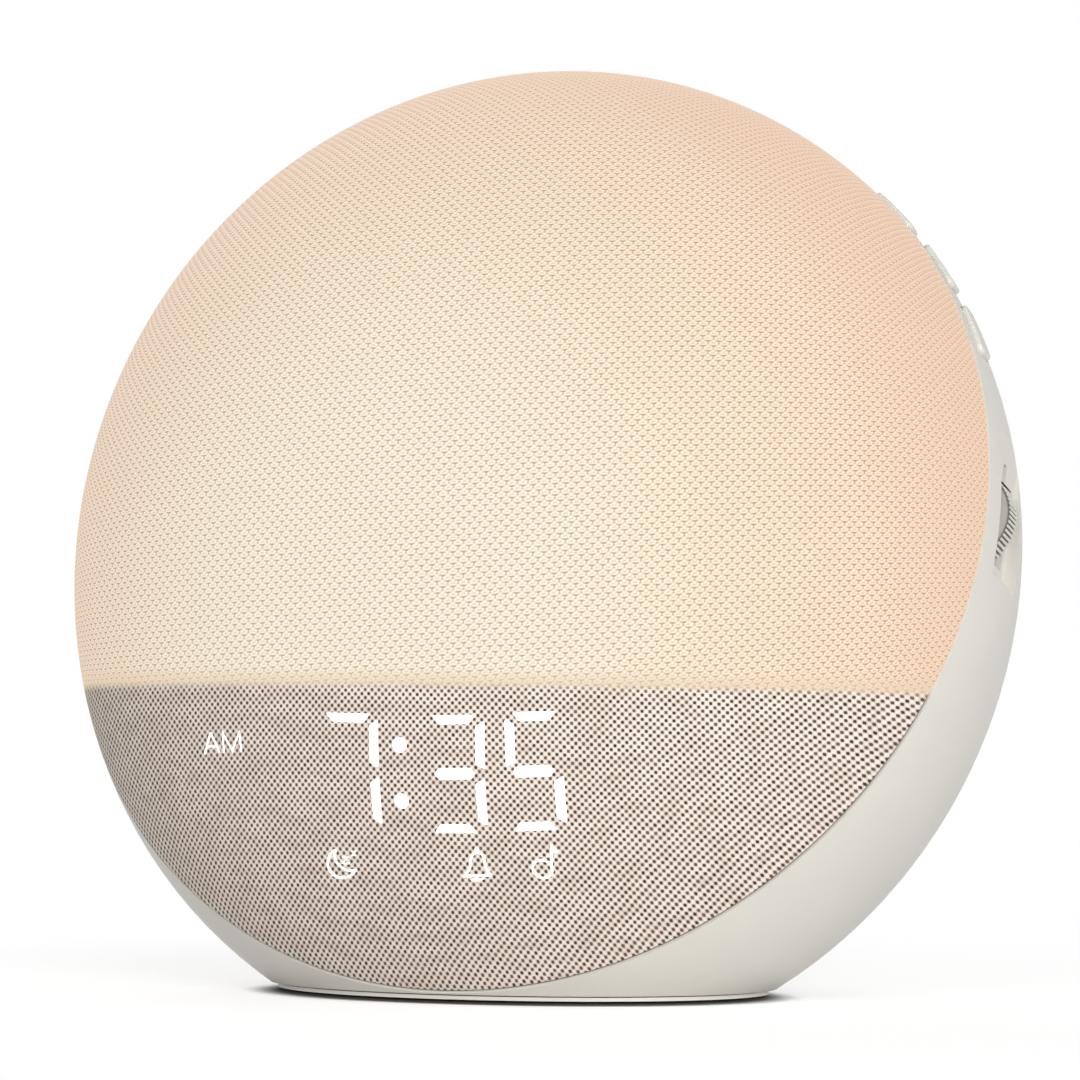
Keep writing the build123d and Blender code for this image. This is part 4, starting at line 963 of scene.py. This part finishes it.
# %% White light in the threads
lit_white, tree, shader, place = new_finish("display_light")
grain = noise(tree, place, 0.7 * MM, 2)
glow_colour = blend_colours(tree, soft_step(tree, grain, 0.3, 0.6), srgb(252, 248, 242), grey(1))
thread_colour = blend_colours(tree, grain, srgb(232, 230, 226), srgb(246, 246, 244))
plug(tree, shader.inputs["Emission Color"], glow_colour)
plug(tree, shader.inputs["Base Color"], thread_colour)
shader.inputs["Emission Strength"].default_value = 0.7
shader.inputs["Roughness"].default_value = 0.8


def lit_piece(name, all_points, all_faces):
    """The plates as one piece that glows white."""
    mesh = bpy.data.meshes.new(name)
    mesh.from_pydata(all_points, [], all_faces)
    mesh.validate()
    mesh.materials.append(lit_white)
    piece = bpy.data.objects.new(name, mesh)
    bpy.context.scene.collection.objects.link(piece)
    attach(piece, "clock")
    print(name, len(mesh.polygons), "faces")
    return piece


print("display light ready")

# %% [markdown]
# Seven-segment figures: bars that lie have slanted ends, and uprights are cut on the side that faces
# a bar. Three outlines, turned over as needed, make them all. They are in millimetres, but along a
# bar that lies they count in halves of its length, because such bars differ in length.

# %% Outlines of the bars
END_BAR = [(-1.0, 0.83), (1.0, 0.83), (0.70, -0.80), (-0.70, -0.80)]
MIDDLE_BAR = [(-1.0, 0.0), (-0.76, 1.05), (0.76, 1.05), (1.0, 0.0), (0.76, -1.08), (-0.76, -1.08)]
UPRIGHT = [(-0.90, 3.45), (0.55, 4.38), (0.88, 4.30), (0.78, -4.28), (0.25, -4.10), (-0.98, -3.35)]
print("3 outlines make all the bars")

# %% Time
# Outline, place across and up, half the length, and 1 or -1 for the way up
BARS = [(END_BAR, -9.27, 9.85, 4.67, 1), (END_BAR, 11.92, 9.62, 4.20, 1), (END_BAR, 26.96, 9.88, 3.96, 1),
        (END_BAR, 10.50, -10.50, 4.10, -1), (END_BAR, 25.45, -10.30, 3.88, -1),
        (MIDDLE_BAR, 11.49, -0.25, 3.98, 1), (MIDDLE_BAR, 26.27, -0.08, 3.80, 1)]
# Place across and up, the side that is cut, and the way up
UPRIGHTS = [(-4.15, 5.12, 1, 1), (-4.66, -5.30, 1, -1), (16.76, 4.83, 1, 1), (16.10, -5.57, 1, -1),
            (22.24, 5.07, -1, 1), (30.62, -5.43, 1, -1)]
SLANT = 0.045  # sideways for each step up
COLON = [(1.05, 5.04), (0.52, -5.37)]
COLON_RADIUS = 1.42

points, faces = [], []
for shape, x, y, half, flip in BARS:
    filled(rounded([(x + px * half, y + py * flip) for px, py in shape]), points, faces)
for x, y, side, flip in UPRIGHTS:
    outline = [(x + side * px + SLANT * flip * py, y + flip * py) for px, py in UPRIGHT]
    filled(rounded(outline), points, faces)
for x, y in COLON:
    filled(ring_of(x, y, COLON_RADIUS), points, faces)
digits = lit_piece("lit_digits", points, faces)
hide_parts("display_guides")

# %% Morning sign
LINE = 0.36  # width in millimetres
points, faces = [], []
strip([(-43.11, 1.28), (-41.12, 5.55)], LINE, points, faces)
strip([(-41.12, 5.55), (-39.22, 1.92)], LINE, points, faces)
strip([(-42.35, 2.78), (-39.72, 3.10)], LINE, points, faces)
strip([(-38.15, 2.05), (-38.07, 5.85), (-36.02, 2.50), (-33.93, 6.25), (-33.82, 2.50)], LINE, points, faces)
lit_piece("lit_sign", points, faces)

# %% Moon, bell and note
ICON_LINE = 0.42
SLEEP_LINE = 0.30  # the larger mark of sleep beside the moon, and the smaller one
NAP_LINE = 0.24
moon_outer = [(-14.8, -15.11), (-16.08, -15.99), (-17.0, -17.52), (-17.0, -19.14), (-16.11, -20.22),
              (-14.37, -20.56), (-12.61, -20.1), (-11.03, -18.78)]
moon_inner = [(-11.43, -19.0), (-12.81, -19.06), (-13.96, -18.61), (-14.9, -17.79), (-15.27, -16.56),
              (-14.8, -15.11)]
bell = [(10.81, -19.65), (12.05, -18.17), (12.42, -16.7), (13.11, -15.48), (13.89, -15.12), (14.81, -15.37),
        (15.12, -16.47), (15.12, -17.95), (15.92, -19.56)]
points, faces = [], []
strip(curve_through(moon_outer), ICON_LINE, points, faces)
strip(curve_through(moon_inner), ICON_LINE, points, faces)
strip([(-13.67, -16.46), (-12.29, -16.43), (-13.78, -17.70), (-12.25, -17.66)], SLEEP_LINE, points, faces)
strip([(-11.39, -15.28), (-10.52, -15.25), (-11.39, -16.02), (-10.57, -15.99)], NAP_LINE, points, faces)
strip(curve_through(bell), ICON_LINE, points, faces)
strip([(10.62, -19.65), (13.3, -19.60), (16.05, -19.51)], ICON_LINE, points, faces)
filled(ring_of(14.0, -14.5, 0.42, 16), points, faces)
filled([(11.68, -20.27), (12.93, -20.77), (14.66, -20.16), (13.05, -20.1)], points, faces)
strip(ring_of(25.57, -18.53, 1.75, 32), ICON_LINE, points, faces, closed=True)
strip([(27.20, -18.49), (27.60, -16.0), (27.95, -13.87)], ICON_LINE, points, faces)
filled([(27.80, -13.87), (28.2, -14.48), (28.88, -15.24), (28.6, -15.6), (27.80, -15.25)], points, faces)
lit_piece("lit_icons", points, faces)

# %% [markdown]
# ## Ribs of the wheel
# The wheel is turned with a fingertip, so its edge has a rib every few degrees. One round rib is made
# once and set on the points of a circle, as Geometry Nodes do best. The drum under the ribs is a
# lathe shape: an outline with soft edges, spun about the axle.

# %% The drum
DIAL_FRONT = -10 * MM
DIAL_THICK = 4 * MM
DRUM_RADIUS = 9.02 * MM
HOLE_RADIUS = 2.03 * MM
EDGE = 0.35 * MM
DRUM_SPOKES = 96

outline = [(HOLE_RADIUS, DIAL_FRONT), (DRUM_RADIUS - EDGE, DIAL_FRONT)]
for turn in (0.5, 1.0, pi / 2):
    outline.append((DRUM_RADIUS - EDGE + EDGE * sin(turn), DIAL_FRONT - EDGE + EDGE * cos(turn)))
outline += [(r, 2 * DIAL_FRONT - DIAL_THICK - z) for r, z in reversed(outline)]
drum = bmesh.new()
rings = []
for i in range(DRUM_SPOKES):
    turn = 2 * pi * i / DRUM_SPOKES
    rings.append([drum.verts.new((r * cos(turn), r * sin(turn), z)) for r, z in outline])
for ring, after in zip(rings, rings[1:] + rings[:1]):
    for j in range(len(outline)):
        k = (j + 1) % len(outline)
        drum.faces.new((ring[j], after[j], after[k], ring[k]))
bmesh.ops.recalc_face_normals(drum, faces=drum.faces)
drum_mesh = bpy.data.meshes.new("drum")
drum.to_mesh(drum_mesh)
drum.free()
print("drum", len(drum_mesh.polygons), "faces")

# %% The rib tree
rib_inputs = {"Rib Count": 8, "Circle Radius": 0.0, "Rib Radius": 0.0, "Rib Length": 0.0, "Middle": 0.0}
tree, given = new_tree("ribs_on_a_drum", rib_inputs)
size = given.outputs
circle = add_node(tree, "GeometryNodeCurvePrimitiveCircle",
                  {"Resolution": size["Rib Count"], "Radius": size["Circle Radius"]})
rib = add_node(tree, "GeometryNodeMeshCylinder", {"Vertices": 10, "Side Segments": 1,
                                                  "Radius": size["Rib Radius"], "Depth": size["Rib Length"]})
smooth_rib = add_node(tree, "GeometryNodeSetShadeSmooth", {0: rib.outputs[0]})
spots = add_node(tree, "GeometryNodeCurveToPoints", {0: circle.outputs[0]}, mode="EVALUATED")
ribs = add_node(tree, "GeometryNodeInstanceOnPoints",
                {"Points": spots.outputs[0], "Instance": smooth_rib.outputs[0]})
down = join_xyz(tree, z=size["Middle"])
placed = add_node(tree, "GeometryNodeTransform", {0: ribs.outputs[0], "Translation": down})
joined = add_node(tree, "GeometryNodeJoinGeometry")
tree.links.new(given.outputs["Geometry"], joined.inputs[0])
tree.links.new(placed.outputs[0], joined.inputs[0])
close_tree(tree, joined.outputs[0], finish["wheel_plastic"])
print("the rib tree has", len(tree.nodes), "nodes")

# %% Make the wheel
RIB_SHORTER = 0.3 * MM  # than the drum is thick
rib_sizes = {"Rib Count": 64, "Circle Radius": 9.2 * MM, "Rib Radius": 0.29 * MM,
             "Rib Length": DIAL_THICK - RIB_SHORTER, "Middle": DIAL_FRONT - DIAL_THICK / 2}
wheel = bake("ribbed_wheel", drum_mesh, tree, rib_sizes)
dial_turn = Matrix((Vector((1, 0, 0)), seam_up, seam_axis)).transposed().to_4x4()
wheel.data.transform(Matrix.Translation(DIAL_MIDDLE) @ dial_turn)
wheel.data.set_sharp_from_angle(angle=radians(40))
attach(wheel, "dial")
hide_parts("dial_wheel")
